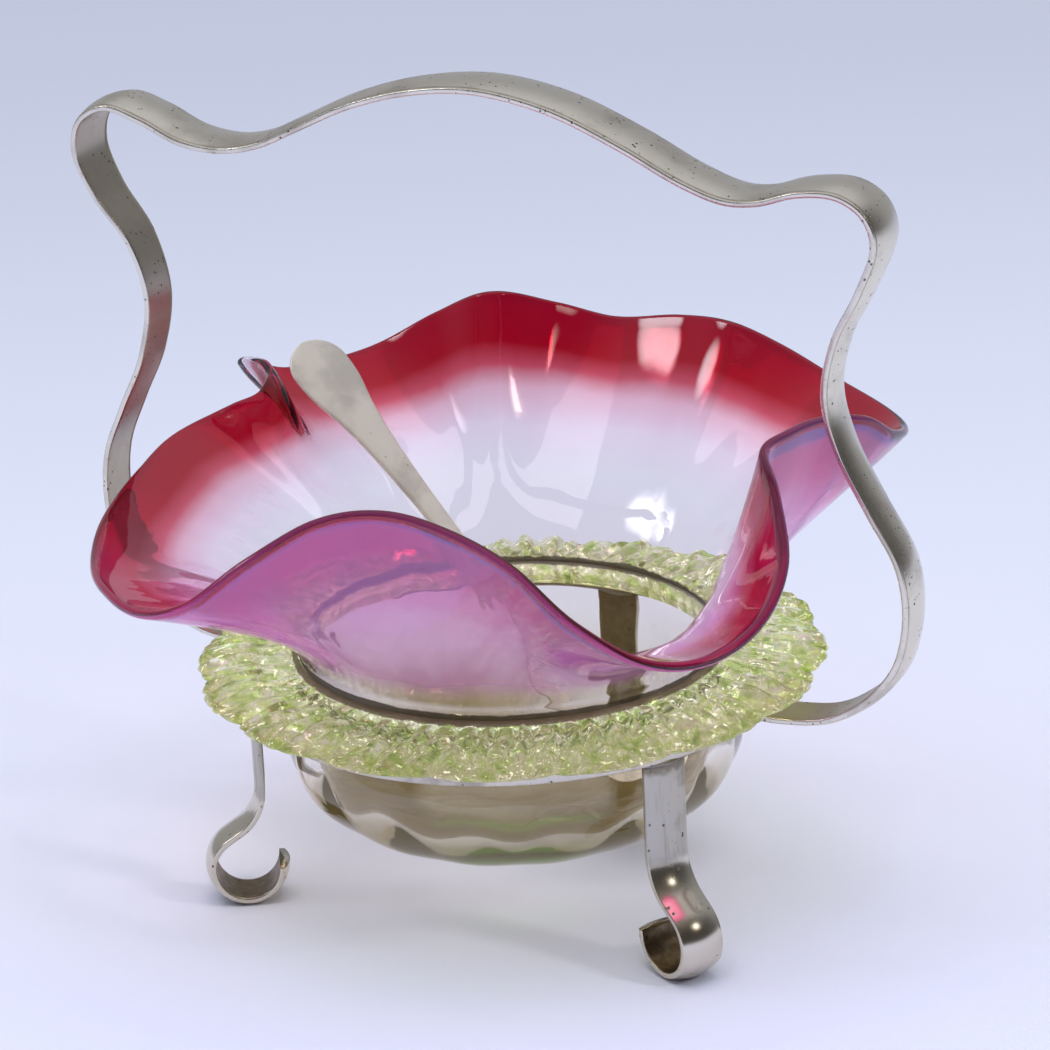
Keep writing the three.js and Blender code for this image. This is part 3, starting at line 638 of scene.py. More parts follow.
# How far along the handle its slim part and its swelling pull on its outline. Then, from the neck: where the
# handle's stations begin, where the bowl's bend begins and how long it is.
SPOON_SLIM_SHARE = 1.04
SPOON_SWELL_SHARE = 0.82
HANDLE_START = 4 * MM
BEND_START = 1 * MM
BEND_SPAN = 7 * MM


def spoon_mesh(spoon, glass):
    """The spoon: one closed skin, rows along it from the bowl's tip to the handle's end, columns round it.

    Its half width follows the bowl's oval, then the handle's outline, a Bezier and a round end. The middle
    face is sunk in the bowl by its depth times 1 - rho^2, where rho is the share of the way out from the
    bowl's centre, and is fluted there by a cosine of the angle round the centre. The section is a flat oval.
    The centre line bends up by the bowl's tilt just before the neck.
    """
    half_bowl = spoon.bowl_length / 2
    neck = spoon.neck_width / 2
    centre = -half_bowl - neck
    end = spoon.end_width / 2
    belly = spoon.handle_length - end
    t = np.linspace(0, 1, 200)
    shape_x = bezier(t, (-spoon.neck_width, SPOON_SLIM_SHARE * belly, SPOON_SWELL_SHARE * belly, belly))
    shape_y = bezier(t, (neck, neck, end, end))
    low_end, high_end = centre - half_bowl, spoon.handle_length
    x = np.concatenate([
        low_end + (centre - low_end) * (1 - np.cos(np.linspace(0.05, np.pi / 2, 50))),
        np.linspace(centre, HANDLE_START, 60)[1:],
        np.linspace(HANDLE_START, belly, 120)[1:],
        belly + end * np.sin(np.linspace(0, np.pi / 2 - 0.05, 40))[1:],
    ])
    oval = spoon.bowl_width / 2 * np.sqrt(np.clip(1 - ((x - centre) / half_bowl) ** 2, 0, 1))
    handle = np.interp(x, shape_x, shape_y)
    cap = np.sqrt(np.clip(end ** 2 - np.clip(x - belly, 0, None) ** 2, 0, None))
    handle = np.where(x > belly, cap, handle)
    shoulder = ease((x - (centre + 0.80 * half_bowl)) / (0.32 * half_bowl))
    half = np.where(x < centre + 0.5 * half_bowl, oval, np.maximum(oval, handle * shoulder))
    around = circle(72)
    across = half[:, None] * np.cos(around)
    rho = np.hypot((x[:, None] - centre) / half_bowl, across / (spoon.bowl_width / 2))
    spin = np.arctan2(across / (spoon.bowl_width / 2), (centre - x[:, None]) / half_bowl)
    hollow = np.clip(1 - rho ** 2, 0, 1)
    flute = spoon.flute_depth * np.cos(spoon.flutes * 2 * spin) * ease(rho / 0.5) * ease((1.02 - rho) / 0.12)
    in_bowl = 1 - ease((x[:, None] - centre - 0.8 * half_bowl) / (0.3 * half_bowl))
    middle = -spoon.bowl_depth * hollow + flute * in_bowl
    thick = spoon.thickness + (spoon.bowl_wall - spoon.thickness) * in_bowl
    side = np.sign(np.sin(around)) * np.abs(np.sin(around)) ** 0.45
    lift = middle + thick / 2 * (1 + side)

    bend = -spoon.bowl_tilt * ease((BEND_START - x) / BEND_SPAN)
    run = np.diff(x, prepend=x[0])
    line_x, line_z = np.cumsum(run * np.cos(bend)), np.cumsum(run * np.sin(bend))
    neck_row = np.argmin(np.abs(x))
    line_x, line_z = line_x - line_x[neck_row], line_z - line_z[neck_row]
    local = np.stack([line_x[:, None] - lift * np.sin(bend)[:, None], across,
                      line_z[:, None] + lift * np.cos(bend)[:, None]], -1)
    return closed_mesh("preserve_spoon", lay_spoon(local, glass))


# The spoon's line: its neck in shares of the belly's radius and height, and its aim in shares of the rim's
# reach and height. It rests on the rim at an azimuth.
SPOON_NECK = np.array([0.025, 0.471, 1])
SPOON_AIM = np.array([-0.746, 0.409, 0.926])
SPOON_REST = np.radians(146)


def lay_spoon(local, glass):
    """Lays the spoon as the CAD spoon lies: along the line from its neck to its aim, its face across the rim,
    then raised so that its top is level with the CAD spoon's top."""
    neck = SPOON_NECK * [glass.belly_radius, glass.belly_radius, glass.belly_height]
    aim = SPOON_AIM * [glass.rim_reach, glass.rim_reach, glass.rim_height]
    along = (aim - neck) / np.linalg.norm(aim - neck)
    across = np.array([-np.sin(SPOON_REST), np.cos(SPOON_REST), 0])
    across -= along * (across @ along)
    across /= np.linalg.norm(across)
    up = np.cross(along, across)
    placed = neck + local @ np.stack([along, across, up])
    placed[..., 2] += SPOON_TOP - placed[..., 2].max()
    return placed


# Finishes

class Sock:
    """A shader socket. Sums, products and sizes of sockets are written as maths. Each adds a Math node."""

    def __init__(self, finish, socket):
        self.finish = finish
        self.socket = socket

    def math(self, operation, first, second=0):
        return self.finish.node("ShaderNodeMath", {"operation": operation}, {0: first, 1: second})

    def __add__(self, other):
        return self.math("ADD", self, other)

    def __sub__(self, other):
        return self.math("SUBTRACT", self, other)

    def __rsub__(self, other):
        return self.math("SUBTRACT", other, self)

    def __mul__(self, other):
        return self.math("MULTIPLY", self, other)

    def __abs__(self):
        return self.math("ABSOLUTE", self)

    __radd__ = __add__
    __rmul__ = __mul__


class Finish:
    """The nodes of a new material, or of a world. Node adds any node; the others are short forms of it."""

    def __init__(self, name, world=False):
        self.owner = (bpy.data.worlds if world else bpy.data.materials).new(name)
        self.owner.use_nodes = True
        self.tree = self.owner.node_tree
        self.tree.nodes.clear()
        self.out = self.tree.nodes.new("ShaderNodeOutputWorld" if world else "ShaderNodeOutputMaterial")

    def node(self, kind, made=None, fed=None, out=0):
        """Adds a node: what is made on it is set first, such as an operation or a ramp's stops, and then its
        sockets are fed with values or links. Gives back one of its outputs."""
        node = self.tree.nodes.new(kind)
        for key, value in (made or {}).items():
            if key == "stops":
                ramp = node.color_ramp
                while len(ramp.elements) < len(value):
                    ramp.elements.new(1)
                for element, (place, colour) in zip(ramp.elements, value):
                    element.position = place
                    element.color = (*colour, 1)
            else:
                setattr(node, key, value)
        for key, value in (fed or {}).items():
            self.feed(node.inputs[key], value)
        return Sock(self, node.outputs[out])

    def feed(self, socket, value):
        """Links a socket, or sets its value."""
        if isinstance(value, Sock):
            self.tree.links.new(value.socket, socket)
        elif socket.type == "RGBA" and len(value) == 3:
            socket.default_value = (*value, 1)
        else:
            socket.default_value = value

    def spot(self, kind="Object"):
        """Where on the piece: its Object coordinates, or its UV map. For a world, which way."""
        return self.node("ShaderNodeTexCoord", out=kind)

    def parts(self, vector):
        """The three parts of a vector."""
        split = self.node("ShaderNodeSeparateXYZ", fed={0: vector}).socket.node
        return [Sock(self, part) for part in split.outputs]

    def reach(self, vector, way):
        """How far a place lies along a way: their dot product."""
        return self.node("ShaderNodeVectorMath", {"operation": "DOT_PRODUCT"}, {0: vector, 1: way}, out=1)

    def stretched(self, vector, scale):
        """Object coordinates scaled along each axis."""
        return self.node("ShaderNodeMapping", fed={"Vector": vector, "Scale": scale})

    def noise(self, vector, scale, detail, rough):
        """Cloudy noise between 0 and 1."""
        return self.node("ShaderNodeTexNoise", fed={"Vector": vector, "Scale": scale, "Detail": detail,
                                                   "Roughness": rough})

    def dots(self, vector, scale, low, high):
        """Scattered dots: 1 within a low distance from many points, and 0 from a high distance on."""
        away = self.node("ShaderNodeTexVoronoi", fed={"Vector": vector, "Scale": scale}, out="Distance")
        return 1 - self.between(away, low, high)

    def between(self, value, low, high):
        """How far a value is from low to high, eased and held between 0 and 1."""
        return self.node("ShaderNodeMapRange", {"interpolation_type": "SMOOTHSTEP"},
                         {"Value": value, "From Min": low, "From Max": high})

    def larger(self, first, second):
        """The larger of two values."""
        return self.node("ShaderNodeMath", {"operation": "MAXIMUM"}, {0: first, 1: second})

    def ramp(self, value, stops):
        """A colour ramp over a value."""
        return self.node("ShaderNodeValToRGB", {"stops": stops}, {0: value})

    def mix(self, colour, *covers):
        """A colour under others, each laid over what is there as far as its factor says."""
        for factor, cover in covers:
            colour = self.node("ShaderNodeMix", {"data_type": "RGBA"},
                               {0: factor, 6: colour, 7: cover}, out=2)
        return colour

    def bump(self, height, distance, strength):
        """A bumped normal from a height between 0 and 1 that stands for a distance in metres."""
        return self.node("ShaderNodeBump", fed={"Height": height, "Distance": distance, "Strength": strength})

    def surface(self, **fed):
        """A Principled surface. Underscores in names stand for spaces."""
        return self.node("ShaderNodeBsdfPrincipled", fed={key.replace("_", " "): fed[key] for key in fed})

    def covered(self, factor, under, cover):
        """One shader covered by another as far as a factor says."""
        return self.node("ShaderNodeMixShader", fed={0: factor, 1: under, 2: cover})

    def metal(self, colour, roughness, height, distance, strength, metallic=1.0):
        """The finished material of bumped metal."""
        return self.done(self.surface(Base_Color=colour, Metallic=metallic, Roughness=roughness,
                                      Normal=self.bump(height, distance, strength)))

    def glass(self, shader, tint):
        """The finished material of glass that only tints the rays of lamps, so that what stands behind it is
        not left in the dark."""
        lamp_ray = self.node("ShaderNodeLightPath", out="Is Shadow Ray")
        clear = self.node("ShaderNodeBsdfTransparent", fed={0: tint})
        return self.done(self.covered(lamp_ray, shader, clear))

    def done(self, shader):
        """Links the shader to the output and gives the material or the world."""
        self.feed(self.out.inputs["Surface"], shader)
        return self.owner


def silver_finish(name, colours, tarnished=0.0, turned_back=0.0):
    """Worn silver plate: warm grey with cloudy roughness, fine wipe marks, small dark pits and tarnish.

    On the strip the UV map's u goes round the section: its first quarter is the inner face, which can be
    tarnished more, and a dark line runs along each edge of the outer face. On the hoop v goes round:
    its first six tenths are the rounded inner side.
    """
    made = Finish(name)
    here = made.spot()
    cloud = made.noise(here, 60, 5, 0.6)
    haze = made.noise(here, 420, 3, 0.6)
    wipe = made.noise(made.stretched(here, (2, 1, 2)), 900, 2, 0.5)
    patch = made.noise(here, 210, 3, 0.6)
    pits = made.larger(made.dots(here, 620, 0.10, 0.24) * made.between(patch, 0.50, 0.62),
                       made.dots(here, 420, 0.08, 0.15) * made.between(patch, 0.48 - tarnished * 0.2, 0.58))
    stain = made.between(cloud, 0.46, 0.72) * (0.35 + tarnished)
    across, onward, _ = made.parts(made.spot("UV"))
    if turned_back:
        inner = 1 - made.between(across, 0.235, 0.27)
        off_middle = abs(across - 0.615)
        line = made.between(off_middle, 0.206, 0.218) * (1 - made.between(off_middle, 0.222, 0.232))
        stain = made.larger(stain, inner * (turned_back * 0.55) + inner * haze * (turned_back * 0.5))
        stain = made.larger(stain, line * (0.4 + made.between(patch, 0.40, 0.60) * 0.3))
    else:
        edge = made.between(onward, 0.90, 0.96) + (1 - made.between(onward, 0.66, 0.72))
        stain = made.larger(stain, edge * made.between(patch, 0.36, 0.52) * 0.7 + haze * 0.5)
        stain = made.larger(stain, (1 - made.between(onward, 0.56, 0.60)) * (0.80 + haze * 0.3))
    colour = made.mix(colours.silver, (stain, colours.tarnish), (haze * 0.25, (0.86, 0.83, 0.76)),
                      (pits * 0.85, colours.pit))
    return made.metal(colour, 0.17 + cloud * 0.16 + stain * 0.16 + pits * 0.3,
                      wipe * 0.10 + haze * 0.25 - pits, 0.00007, 0.9)


def leg_finish(colours):
    """A leg's plate: matt, whitish and streaked on the shank, where it was heated, and polished below. Its
    inner face and the top of its shank are tarnished."""
    made = Finish("leg_plate")
    here = made.spot()
    height = made.parts(here)[2]
    cloud = made.noise(here, 90, 5, 0.6)
    haze = made.noise(here, 480, 3, 0.6)
    streak = made.noise(made.stretched(here, (1, 1, 0.08)), 700, 2, 0.6)
    matt = made.between(height + cloud * 0.004, 0.0275, 0.0300)
    pits = made.dots(here, 560, 0.12, 0.26) * made.between(haze, 0.5, 0.62)
    inner = 1 - made.between(made.parts(made.spot("UV"))[0], 0.235, 0.27)
    top = made.between(height + haze * 0.003, 0.0490, 0.0510)
    stain = made.larger(inner * 0.7 + inner * haze * 0.5, made.between(cloud, 0.55, 0.75) * 0.4 + top * 0.6)
    colour = made.mix(colours.silver, (0.10, colours.tarnish), (matt * 0.7, (0.50, 0.475, 0.42)),
                      (matt * made.between(streak, 0.5, 0.75) * 0.5, (0.26, 0.245, 0.21)),
                      (stain, colours.tarnish), (pits * 0.8, colours.pit))
    return made.metal(colour, 0.16 + matt * 0.24 + cloud * 0.10 + stain * 0.2 + pits * 0.25,
                      haze * (0.2 + matt * 0.6) - pits, 0.00007, 0.8)


def solder_finish(colours):
    """Dull grey solder with a fine crust."""
    made = Finish("dull_solder")
    here = made.spot()
    crust = made.noise(here, 700, 5, 0.65)
    cloud = made.noise(here, 200, 3, 0.5)
    colour = made.mix(colours.solder, (made.between(cloud, 0.35, 0.7) * 0.6, colours.tarnish))
    return made.metal(colour, 0.38 + crust * 0.2, crust, 0.00015, 0.9)


def spoon_finish(colours):
    """Matt warm silver with soft grey stains, fine scratches along the handle and a few dark specks."""
    made = Finish("spoon_silver")
    here = made.spot()
    cloud = made.noise(here, 70, 5, 0.6)
    scratch = made.noise(made.stretched(here, (1, 4, 1)), 1500, 2, 0.5)
    haze = made.noise(here, 600, 4, 0.6)
    specks = made.dots(here, 480, 0.08, 0.16) * made.between(haze, 0.55, 0.65)
    colour = made.mix(colours.spoon, (made.between(cloud, 0.40, 0.66) * 0.45, (0.46, 0.43, 0.39)),
                      (specks * 0.6, colours.pit))
    return made.metal(colour, 0.36 + cloud * 0.12 + haze * 0.06, scratch * 0.5 + haze * 0.5 - specks,
                      0.00005, 0.7, metallic=0.8)


# Level ways: out at the pleat and along the rim there, towards the near edge of the foot, and towards the
# camera and to its right.
PLEAT_OUT = (-0.870, 0.493, 0)
PLEAT_ALONG = (-0.493, -0.870, 0)
FOOT_NEAR = (0.458, -0.889, 0)
TO_CAMERA = (0.454, -0.891, 0)
TO_RIGHT = (0.891, 0.454, 0)


def cranberry_finish(colours):
    """Glass that shades from clear at the waist to cranberry at the lip, with a milky violet film outside.

    The UV map's v goes up the outer wall from 0 to 0.5, over the lip, and down the inner wall to 1. The thick
    glass of the bowl is amber with a faint painted amber glow, and is tinted green with a painted green glow
    at the near edge of the foot. The film lies on the front and thinly on the rear, where it stops short of
    the cranberry. It leaves the lip bare, and the pleat is pale. A dark ragged line runs round the waist,
    just above
    the frill: dirty glass at the frill's joint and painted shade in the gap beside it.
    """
    made = Finish("cranberry_glass")
    here = made.spot()
    v = made.parts(made.spot("UV"))[1]
    side = 1 - abs(v * 2 - 1)
    drift = made.noise(here, 22, 2, 0.5)
    streak = made.noise(made.stretched(here, (1, 1, 0.35)), 60, 3, 0.6)
    up = side + (drift - 0.5) * 0.05 + (streak - 0.5) * 0.02
    outside = 1 - made.between(v, 0.4985, 0.5005)
    front = made.between(made.reach(here, (0.6, -1, 0)), -0.025, 0.03)
    rear = made.between(made.reach(here, (-0.35, 1, 0)), 0.008, 0.03)
    right = made.between(made.reach(here, (1, 0, 0)), -0.04, 0.03)
    pleat = (made.between(made.reach(here, PLEAT_OUT), 0.0985, 0.1030)
             * made.between(made.reach(here, PLEAT_ALONG), -0.0010, 0.0015))
    foot_edge = (outside * made.between(side, 0.003, 0.012) * (1 - made.between(side, 0.045, 0.075))
                 * made.between(made.reach(here, FOOT_NEAR), 0.017, 0.022))
    milky = made.between(up, 0.72 - front * 0.13, 0.84 - front * 0.19) * outside

    body = made.ramp(up + front * outside * 0.05, [
        (0.00, (0.60, 0.54, 0.40)), (0.05, colours.amber), (0.22, (0.33, 0.26, 0.13)),
        (0.34, (0.76, 0.71, 0.60)), (0.44, (0.88, 0.84, 0.79)), (0.54, colours.clear),
        (0.72, (0.93, 0.87, 0.87)), (0.80, (0.94, 0.82, 0.85)), (0.86, (0.90, 0.54, 0.59)),
        (0.895, (0.66, 0.08, 0.12)), (0.93, colours.cranberry), (0.985, (0.42, 0.002, 0.02)),
        (1.0, colours.lip),
    ])
    body = made.mix(body, (foot_edge * 0.8, (0.25, 0.62, 0.04)),
                    (milky * front * 0.55, (0.90, 0.42, 0.74)), (pleat * 0.85, (0.93, 0.86, 0.93)))
    # Painted glow: a faint amber emission in the bowl, and a green one at the near edge of the foot.
    painted_glow = made.ramp(up, [(0.0, (0.10, 0.08, 0.03)), (0.45, (0.09, 0.07, 0.035)), (0.54, (0, 0, 0))])
    painted_glow = made.mix(painted_glow, (foot_edge, (0.25, 0.70, 0.05)))
    glass = made.surface(Base_Color=body, Roughness=0.0, IOR=1.5, Specular_IOR_Level=0.2,
                         Transmission_Weight=1.0, Emission_Color=painted_glow, Emission_Strength=0.15,
                         Normal=made.bump(streak, 0.0004, 0.2))

    band = made.between(up, 0.968, 0.984) * outside * (0.4 + right * 0.6)
    film = made.mix((0.66, 0.50, 0.76), (front, colours.opal), (band * (1 - pleat), colours.opal_lip))
    veil = milky * (0.12 + streak * 0.12 + front * 0.24) + band * front * 0.3
    veil = veil * (1 - made.between(up, 0.84, 0.92) * rear) * (1 - made.between(v, 0.4925, 0.4955))
    shader = made.covered(veil, glass, made.surface(Base_Color=film, Roughness=0.15, IOR=1.5))

    # A dark ragged line round the waist just above the frill: dirty glass at the frill's joint and painted
    # shade in the gap between the frill and the wall.
    ragged = made.noise(here, 120, 3, 0.6) * 0.012 + made.noise(here, 500, 2, 0.6) * 0.006
    ragged = side + (ragged + made.noise(here, 11, 1, 0.5) * 0.05)
    dirt_and_shade = made.between(side, 0.544, 0.547) * (1 - made.between(ragged, 0.590, 0.594)) * outside
    shader = made.covered(dirt_and_shade * 0.9, shader, made.surface(Base_Color=colours.grime_and_shade, Roughness=0.6))
    return made.glass(shader, (0.97, 0.94, 0.965))


def green_finish(colours, joint):
    """Yellow-green glass, a little seedy, with painted glints, a faint painted glow over it, painted
    highlights in its pale stops, and a dark ragged line at the top of its joint, whose height is given: dirty
    glass with painted shade in the gap beside the wall."""
    made = Finish("green_glass")
    here = made.spot()
    cloud = made.noise(here, 130, 4, 0.6)
    fine = made.noise(here, 520, 3, 0.55)
    sparkle = made.noise(here, 300, 3, 0.55)
    # The ramp's pale cream, white and peach stops are partly the pale glass and partly painted highlights.
    colour = made.ramp(sparkle * 0.7 + cloud * 0.3, [
        (0.34, (0.20, 0.34, 0.05)), (0.41, (0.46, 0.68, 0.14)), (0.46, colours.green),
        (0.51, (0.95, 0.95, 0.68)), (0.56, (1.0, 0.98, 0.88)), (0.61, (0.98, 0.84, 0.72)),
        (0.66, (0.50, 0.72, 0.20)),
    ])
    # Painted glints: small cream spots of emission. Painted glow: a faint green emission over the whole
    # frill.
    painted_glint = made.between(made.noise(here, 620, 2, 0.6), 0.61, 0.67) * made.between(cloud, 0.42, 0.56)
    painted_glow = made.mix((0.060, 0.062, 0.024), (painted_glint, (1.0, 0.94, 0.80)))
    glass = made.surface(Base_Color=colour, Roughness=0.0, IOR=1.52, Transmission_Weight=1.0,
                         Emission_Color=painted_glow, Emission_Strength=0.6,
                         Normal=made.bump(fine * 0.6 + sparkle * 0.6, 0.0008, 0.35))
    # A dark ragged line at the top of the frill's inner edge: dirty glass at the joint and painted shade in
    # the gap between the frill and the wall.
    flat = made.node("ShaderNodeVectorMath", {"operation": "MULTIPLY"}, {0: here, 1: (1, 1, 0)})
    radius = made.node("ShaderNodeVectorMath", {"operation": "LENGTH"}, {0: flat}, out=1)
    ragged = made.noise(here, 300, 3, 0.6) * 0.0012
    dirt_and_shade = ((1 - made.between(radius + ragged, 0.0514, 0.0519))
            * made.between(made.parts(here)[2] + ragged, joint - 0.0008, joint - 0.0003))
    dull = made.surface(Base_Color=made.mix(colours.grime_and_shade, (cloud, (0.12, 0.085, 0.05))), Roughness=0.6)
    return made.glass(made.covered(dirt_and_shade * 0.92, glass, dull), (0.90, 0.92, 0.84))


def cloth_finish(colours):
    """A pale blue-white cloth with a fine weave that hardly shows, dimmed far off by painted shade and made
    brighter and bluer in front by painted light.
    """
    made = Finish("pale_cloth")
    here = made.spot()
    warp, weft = (made.node("ShaderNodeTexWave", {"bands_direction": way},
                            {"Vector": here, "Scale": 900, "Distortion": 2.0}) for way in "XY")
    cloud = made.noise(here, 3.5, 3, 0.5)
    # Painted shade: the cloth grows darker away from the camera. Painted light: in front, but not to the
    # right, it is brighter and bluer.
    towards = made.reach(here, TO_CAMERA)
    near = made.between(towards, -0.02, 0.16) * (1 - made.between(made.reach(here, TO_RIGHT), 0.05, 0.20))
    colour = made.mix(colours.cloth, (cloud * 0.4, (0.68, 0.71, 0.82)),
                      (made.between(0 - towards, 0.05, 0.8), (0.51, 0.54, 0.65)), (near, (0.65, 0.69, 0.90)))
    return made.done(made.surface(Base_Color=colour, Roughness=0.9, Specular_IOR_Level=0.0,
                                  Normal=made.bump(warp * 0.5 + weft * 0.5, 0.0001, 0.35)))


# Operators

LEGS = {"leg_front_right": -30, "leg_back": 90, "leg_front_left": 210}


class DISH_OT_hoop_and_handle(bpy.types.Operator):
    """Makes the plated hoop and the handle that is soldered to it."""
    bl_idname = "preserve_dish.hoop_and_handle"
    bl_label = "Hoop and Handle"

    def execute(self, context):
        own = settings()
        place_piece(hoop_mesh(own.stand), silver_finish("hoop_plate", own.finish, 0.45), "stand",
                    ["hoop"])
        place_piece(handle_mesh(own.stand), silver_finish("handle_plate", own.finish, 0.05, 0.75), "stand",
                    ["handle"])
        return {"FINISHED"}


class DISH_OT_legs(bpy.types.Operator):
    """Makes the three scroll legs, whose feet are worn flat at the table."""
    bl_idname = "preserve_dish.legs"
    bl_label = "Legs"

    def execute(self, context):
        own = settings()
        plate = leg_finish(own.finish)
        line = leg_line(own.stand)
        for name, azimuth in LEGS.items():
            mesh = strap(f"plated_{name}", line, strip_section(own.stand))
            places = np.empty(len(mesh.vertices) * 3, np.float32)
            mesh.vertices.foreach_get("co", places)
            places[2::3] = np.maximum(places[2::3], 0)
            mesh.vertices.foreach_set("co", places)
            place_piece(turned(mesh, np.radians(azimuth)), plate, "stand", [name])
        return {"FINISHED"}


# Half sizes of a joint's solder, in shares of the strip's thickness, width and thickness.
LEG_SOLDER = np.array([0.75, 0.53, 0.42])
ROOT_SOLDER = np.array([0.6, 0.52, 0.62])
ROOT_SOLDER_RISE = 0.45
ROOT_SOLDER_SEED = 7


class DISH_OT_solder(bpy.types.Operator):
    """Makes the solder at each leg and at both roots of the handle."""
    bl_idname = "preserve_dish.solder"
    bl_label = "Solder"

    def execute(self, context):
        own = settings()
        crust = solder_finish(own.finish)
        thick, gap = own.stand.strip_thickness, own.stand.seat_gap
        strip = np.array([thick, own.stand.strip_width, thick])
        at_leg = (HOOP_OUTER - gap - thick / 2, 0, HOOP_UNDER - gap)
        at_root = (HOOP_OUTER + gap, 0, HOOP_UNDER + thick * ROOT_SOLDER_RISE)
        joints = [(name, at_leg, LEG_SOLDER, np.radians(azimuth), seed)
                  for seed, (name, azimuth) in enumerate(LEGS.items())]
        joints += [(f"handle_{side}", at_root, ROOT_SOLDER, np.pi * turn, ROOT_SOLDER_SEED + turn)
                   for turn, side in enumerate(("right", "left"))]
        for name, centre, half, azimuth, seed in joints:
            mesh = solder_mesh(f"joint_{name}", centre, half * strip, azimuth, seed)
            place_piece(mesh, crust, "stand", [f"solder_{name}"])
        return {"FINISHED"}


class DISH_OT_glass(bpy.types.Operator):
    """Makes the ruffled dish and the frill round its waist."""
    bl_idname = "preserve_dish.glass"
    bl_label = "Glass Dish and Frill"

    def execute(self, context):
        own = settings()
        place_piece(glass_dish_mesh(own.glass, own.stand), cranberry_finish(own.finish), "dish",
                    ["glass_dish"])
        joint = HOOP_TOP + own.stand.seat_gap + own.glass.frill_inner
        place_piece(frill_mesh(own.glass, own.stand), green_finish(own.finish, joint), "dish",
                    ["glass_frill"])
        return {"FINISHED"}


class DISH_OT_spoon(bpy.types.Operator):
    """Makes the preserve spoon."""
    bl_idname = "preserve_dish.spoon"
    bl_label = "Preserve Spoon"

    def execute(self, context):
        own = settings()
        place_piece(spoon_mesh(own.spoon, own.glass), spoon_finish(own.finish), "spoon",
                    ["spoon"])
        return {"FINISHED"}


# The photograph's camera, in metres and radians: where it stands, which way it looks, its roll and its lens.
CAMERA_PLACE = np.array([443.043, -859.853, 453.620]) * MM
CAMERA_AZIMUTH = np.radians(27)
CAMERA_ELEVATION = 0.360333
CAMERA_ROLL = -0.046107
CAMERA_LENS = 154.29

FLOOR_REACH = 3

# Lamps: name, place, aim, width, height, power and colour.
LAMPS = (
    ("window_left", (-1.30, -0.60, 1.30), (0, 0, 0.08), 0.22, 0.40, 2.2, (0.95, 0.97, 1.0)),
    ("window_right", (1.40, -0.10, 1.10), (0, 0, 0.08), 0.18, 0.30, 6.0, (1.0, 0.96, 0.90)),
    ("ceiling", (0.15, -0.50, 2.20), (0, 0, 0), 1.90, 1.90, 35.0, (0.95, 0.97, 1.0)),
)
# The room's light, which way its pale side and its windows lie, and the windows' light in what mirrors them.
SKY_STRENGTH = 0.75
PALE_SIDE = (-0.43, 0.85, 0.30)
LEFT_WINDOW = (-0.66, -0.36, 0.66)
RIGHT_WINDOW = (0.80, -0.10, 0.59)
DARK_SIDE = (0.95, -0.05, 0.10)
MIRRORED_WINDOWS = 16.0


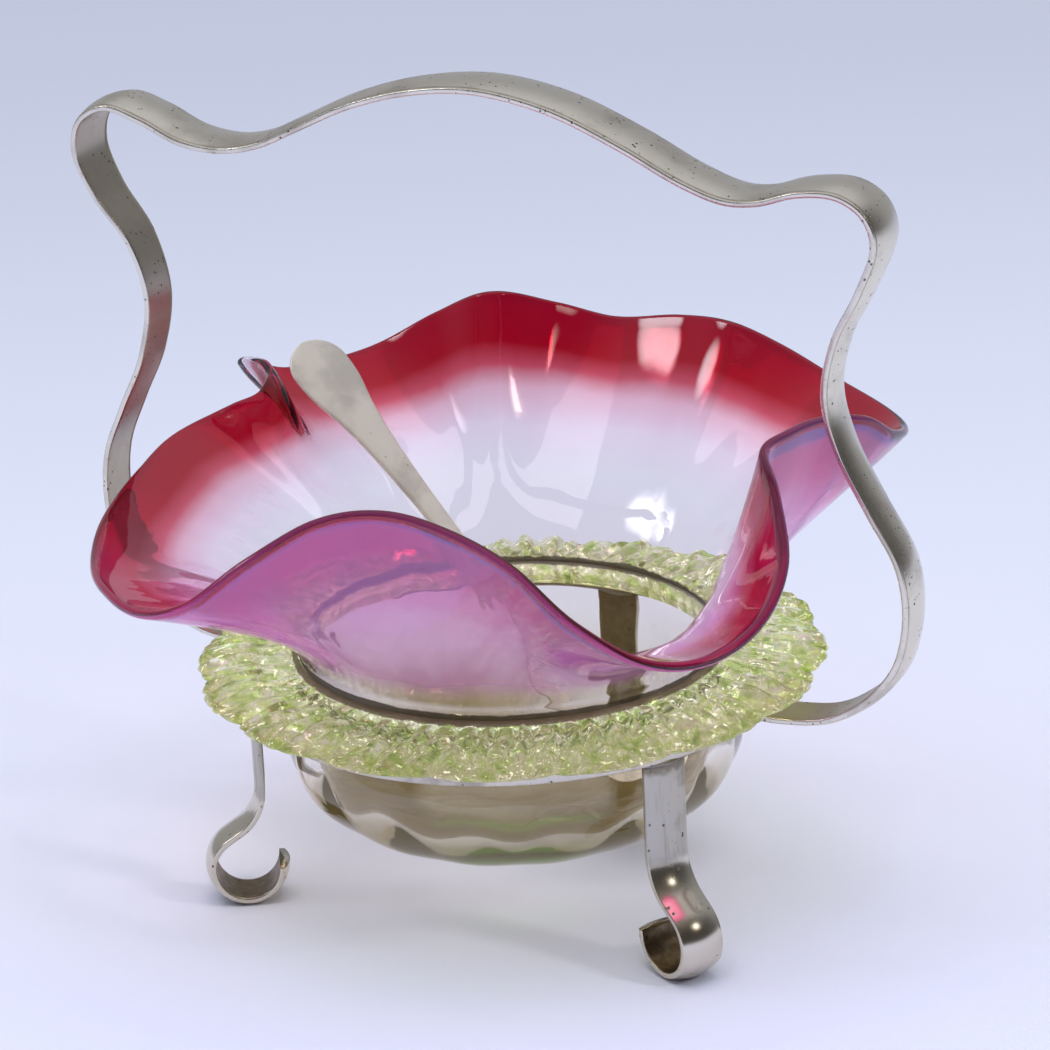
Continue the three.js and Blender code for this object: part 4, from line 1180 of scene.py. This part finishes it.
class DISH_OT_stage(bpy.types.Operator):
    """Makes the pale floor, the soft lamps, the sky light and the camera."""
    bl_idname = "preserve_dish.stage"
    bl_label = "Stage"

    def execute(self, context):
        scene = context.scene
        far = FLOOR_REACH
        corners = [(-far, -far, 0), (far, -far, 0), (far, far, 0), (-far, far, 0)]
        floor_mesh = bpy.data.meshes.new("floor")
        floor_mesh.from_pydata(corners, [], [(0, 1, 2, 3)])
        floor_mesh.materials.append(cloth_finish(settings().finish))
        floor = bpy.data.objects.new("floor", floor_mesh)
        scene.collection.objects.link(floor)
        for name, place, aim, width, height, power, colour in LAMPS:
            data = bpy.data.lights.new(name, "AREA")
            data.shape = "RECTANGLE"
            data.size = width
            data.size_y = height
            data.energy = power
            data.color = colour
            lamp = bpy.data.objects.new(name, data)
            lamp.visible_glossy = False
            lamp.location = place
            lamp.rotation_euler = (Vector(aim) - Vector(place)).to_track_quat("-Z", "Y").to_euler()
            scene.collection.objects.link(lamp)
        scene.view_settings.view_transform = "Standard"
        scene.world = self.sky()
        scene.camera = self.camera()
        scene.collection.objects.link(scene.camera)
        return {"FINISHED"}

    def sky(self):
        """A soft room: pale cloth behind the object, dim behind the camera, lighter above. What mirrors it
        shows it dimmer, darkest at the dark side, and with two soft windows."""
        made = Finish("soft_room", world=True)
        way = made.spot("Generated")
        room = made.ramp(made.reach(way, PALE_SIDE) * 0.5 + 0.5, [
            (0.0, (0.24, 0.22, 0.20)), (0.40, (0.30, 0.28, 0.26)),
            (0.65, (0.70, 0.72, 0.78)), (1.0, (0.86, 0.89, 0.98)),
        ])
        above = made.between(made.reach(way, (0, 0, 1)), 0.5, 0.95)
        mirrored = made.node("ShaderNodeLightPath", out="Is Glossy Ray")
        windows = (made.between(made.reach(way, LEFT_WINDOW), 0.986, 0.999)
                   + made.between(made.reach(way, RIGHT_WINDOW), 0.990, 0.9995))
        dark = made.between(made.reach(way, DARK_SIDE), 0.35, 0.90)
        strength = (1 - mirrored * 0.4) * (1 + above * 0.9) * SKY_STRENGTH
        strength = strength * (1 - mirrored * dark * 0.6) + mirrored * windows * MIRRORED_WINDOWS
        return made.done(made.node("ShaderNodeBackground", fed={"Color": room, "Strength": strength}))

    def camera(self):
        """The camera's axes: back from its azimuth and elevation, right level, both rolled about back."""
        azimuth, elevation = CAMERA_AZIMUTH, CAMERA_ELEVATION
        back = np.array([np.sin(azimuth) * np.cos(elevation), -np.cos(azimuth) * np.cos(elevation),
                         np.sin(elevation)])
        right = np.array([np.cos(azimuth), np.sin(azimuth), 0])
        up = np.cross(back, right)
        rolled_right = np.cos(CAMERA_ROLL) * right + np.sin(CAMERA_ROLL) * up
        rolled_up = np.cos(CAMERA_ROLL) * up - np.sin(CAMERA_ROLL) * right
        data = bpy.data.cameras.new("camera")
        data.lens = CAMERA_LENS
        data.sensor_width = 36
        camera = bpy.data.objects.new("camera", data)
        matrix = np.eye(4)
        matrix[:3] = np.stack([rolled_right, rolled_up, back, CAMERA_PLACE], 1)
        camera.matrix_world = Matrix(matrix.tolist())
        return camera


class DISH_PT_panel(bpy.types.Panel):
    """Lists the pieces and their sizes in the sidebar."""
    bl_idname = "DISH_PT_panel"
    bl_label = "Preserve Dish"
    bl_space_type = "VIEW_3D"
    bl_region_type = "UI"
    bl_category = "Preserve Dish"

    def draw(self, context):
        for maker in MAKERS:
            self.layout.operator(maker.bl_idname)
        own = context.scene.preserve_dish
        for group in (own.stand, own.glass, own.spoon, own.finish):
            box = self.layout.box()
            for name in group.__annotations__:
                box.prop(group, name)


MAKERS = (DISH_OT_stage, DISH_OT_hoop_and_handle, DISH_OT_legs, DISH_OT_solder, DISH_OT_glass,
          DISH_OT_spoon)
CLASSES = (StandSizes, GlassSizes, SpoonSizes, Finishes, PreserveDish, *MAKERS, DISH_PT_panel)


def register():
    for part in CLASSES:
        bpy.utils.register_class(part)
    bpy.types.Scene.preserve_dish = PointerProperty(type=PreserveDish)


def unregister():
    del bpy.types.Scene.preserve_dish
    for part in reversed(CLASSES):
        bpy.utils.unregister_class(part)


def main():
    """Builds everything."""
    register()
    for maker in MAKERS:
        group, name = maker.bl_idname.split(".")
        getattr(getattr(bpy.ops, group), name)()


if __name__ == "__main__":
    main()
